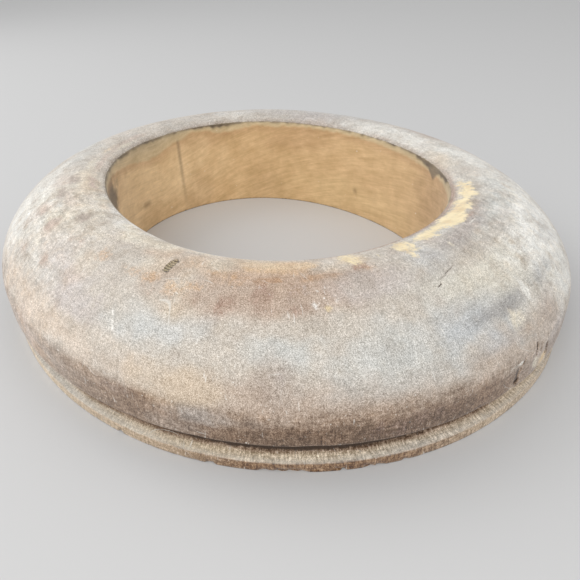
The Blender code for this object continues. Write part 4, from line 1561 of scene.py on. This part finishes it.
@dataclass(frozen=True)
class CameraPlace:
    """Place of the camera: it aims at a point of the floor that lies ahead of it.

    The heading is the turn of the view about Z, and the aim is given in the turned frame.
    """

    distance: float = 298.763
    pitch: float = 33.0616
    roll: float = -2.2530
    aim: tuple[float, float] = (9.4461, -30.8799)
    heading: float = 54.4409
    focal_pixels: float = 555.0
    image_pixels: float = 580.0
    sensor: float = 36.0
    nearest: float = 0.01

    def build(self) -> None:
        """Add the camera and make it the scene's."""
        pitch, roll = math.radians(self.pitch), math.radians(self.roll)
        ahead = Vector((0.0, math.cos(pitch), -math.sin(pitch)))
        right, up = Vector((1.0, 0.0, 0.0)), Vector((0.0, math.sin(pitch), math.cos(pitch)))
        turned_right = math.cos(roll) * right + math.sin(roll) * up
        turned_up = math.cos(roll) * up - math.sin(roll) * right
        eye = (Vector((*self.aim, 0.0)) - self.distance * ahead) * MM
        axes = Matrix((turned_right, turned_up, -ahead)).transposed().to_4x4()
        data = bpy.data.cameras.new("photo_camera")
        data.sensor_width = self.sensor
        data.lens = self.sensor * self.focal_pixels / self.image_pixels
        data.clip_start = self.nearest
        camera = bpy.data.objects.new("photo_camera", data)
        heading = Matrix.Rotation(math.radians(self.heading), 4, "Z")
        camera.matrix_world = heading @ Matrix.Translation(eye) @ axes
        bpy.context.scene.collection.objects.link(camera)
        bpy.context.scene.camera = camera


@dataclass(frozen=True)
class SoftLamp:
    """Square soft lamp that hangs over the block, with its sizes in metres."""

    name: str
    place: tuple[float, float, float]
    width: float
    power: float
    aim: tuple[float, float, float] = (0.0, 0.0, 0.03)

    def build(self) -> None:
        """Add the lamp, turned towards the block."""
        data = bpy.data.lights.new(self.name, "AREA")
        data.shape = "SQUARE"
        data.size = self.width
        data.energy = self.power
        lamp = bpy.data.objects.new(self.name, data)
        lamp.location = self.place
        lamp.rotation_euler = (Vector(self.aim) - Vector(self.place)).to_track_quat("-Z", "Y").to_euler()
        bpy.context.scene.collection.objects.link(lamp)


@dataclass
class Studio:
    """Pale floor, soft lamps, even surround and the camera. The floor's reach is in metres."""

    floor_reach: float = 6.0
    floor_sides: int = 96
    floor_roughness: float = 0.9
    seen_floor: float = 0.62
    lit_floor: float = 0.55
    surround: float = 0.70
    camera: CameraPlace = CameraPlace()
    lamps: tuple[SoftLamp, ...] = (
        SoftLamp("front_lamp", (0.66, -0.79, 0.80), 0.9, 7.0),
        SoftLamp("side_lamp", (-0.89, -0.51, 0.80), 0.9, 4.0),
    )

    def _seen(self, tree: bpy.types.NodeTree) -> Socket:
        """Return 1 where the camera, a gloss or a see-through surface looks, and 0 for plain bounces."""
        rays = tree.nodes.new("ShaderNodeLightPath")
        total = rays.outputs["Is Camera Ray"]
        for name in ("Is Glossy Ray", "Is Transmission Ray"):
            add = tree.nodes.new("ShaderNodeMath")
            add.operation = "MAXIMUM"
            tree.links.new(total, add.inputs[0])
            tree.links.new(rays.outputs[name], add.inputs[1])
            total = add.outputs[0]
        return total

    def _floor(self) -> None:
        """Add the floor, which looks pale but throws back little light."""
        mesh = bpy.data.meshes.new("studio_floor")
        net = bmesh.new()
        bmesh.ops.create_circle(net, cap_ends=True, radius=self.floor_reach, segments=self.floor_sides)
        net.to_mesh(mesh)
        net.free()
        sketch = NodeSketch("studio_floor_paint")
        dark, pale = ((level,) * 3 for level in (self.lit_floor, self.seen_floor))
        colour = sketch.mix(self._seen(sketch.tree), dark, pale)
        mesh.materials.append(sketch.finish(base_color=colour, roughness=self.floor_roughness))
        floor = bpy.data.objects.new("studio_floor", mesh)
        bpy.context.scene.collection.objects.link(floor)

    def _world(self) -> None:
        """Light the scene evenly from all sides, with a pale backdrop for the camera."""
        world = bpy.data.worlds.new("studio_surround")
        world.use_nodes = True
        tree = world.node_tree
        background = tree.nodes["Background"]
        level = tree.nodes.new("ShaderNodeMapRange")
        tree.links.new(self._seen(tree), level.inputs["Value"])
        level.inputs["To Min"].default_value = self.surround
        level.inputs["To Max"].default_value = self.seen_floor
        tree.links.new(level.outputs["Result"], background.inputs["Strength"])
        background.inputs["Color"].default_value = (1.0, 1.0, 1.0, 1.0)
        bpy.context.scene.world = world

    def build(self) -> None:
        """Set up the studio around the block."""
        self._floor()
        self._world()
        for lamp in self.lamps:
            lamp.build()
        self.camera.build()
        bpy.context.scene.view_settings.view_transform = "Standard"
        LOG.info("studio: floor, %d lamps and camera", len(self.lamps))


def main() -> None:
    """Build the block and the studio around it."""
    logging.basicConfig(level=logging.INFO, format="%(message)s")
    BrimBlock().build()
    Studio().build()


if __name__ == "__main__":
    main()
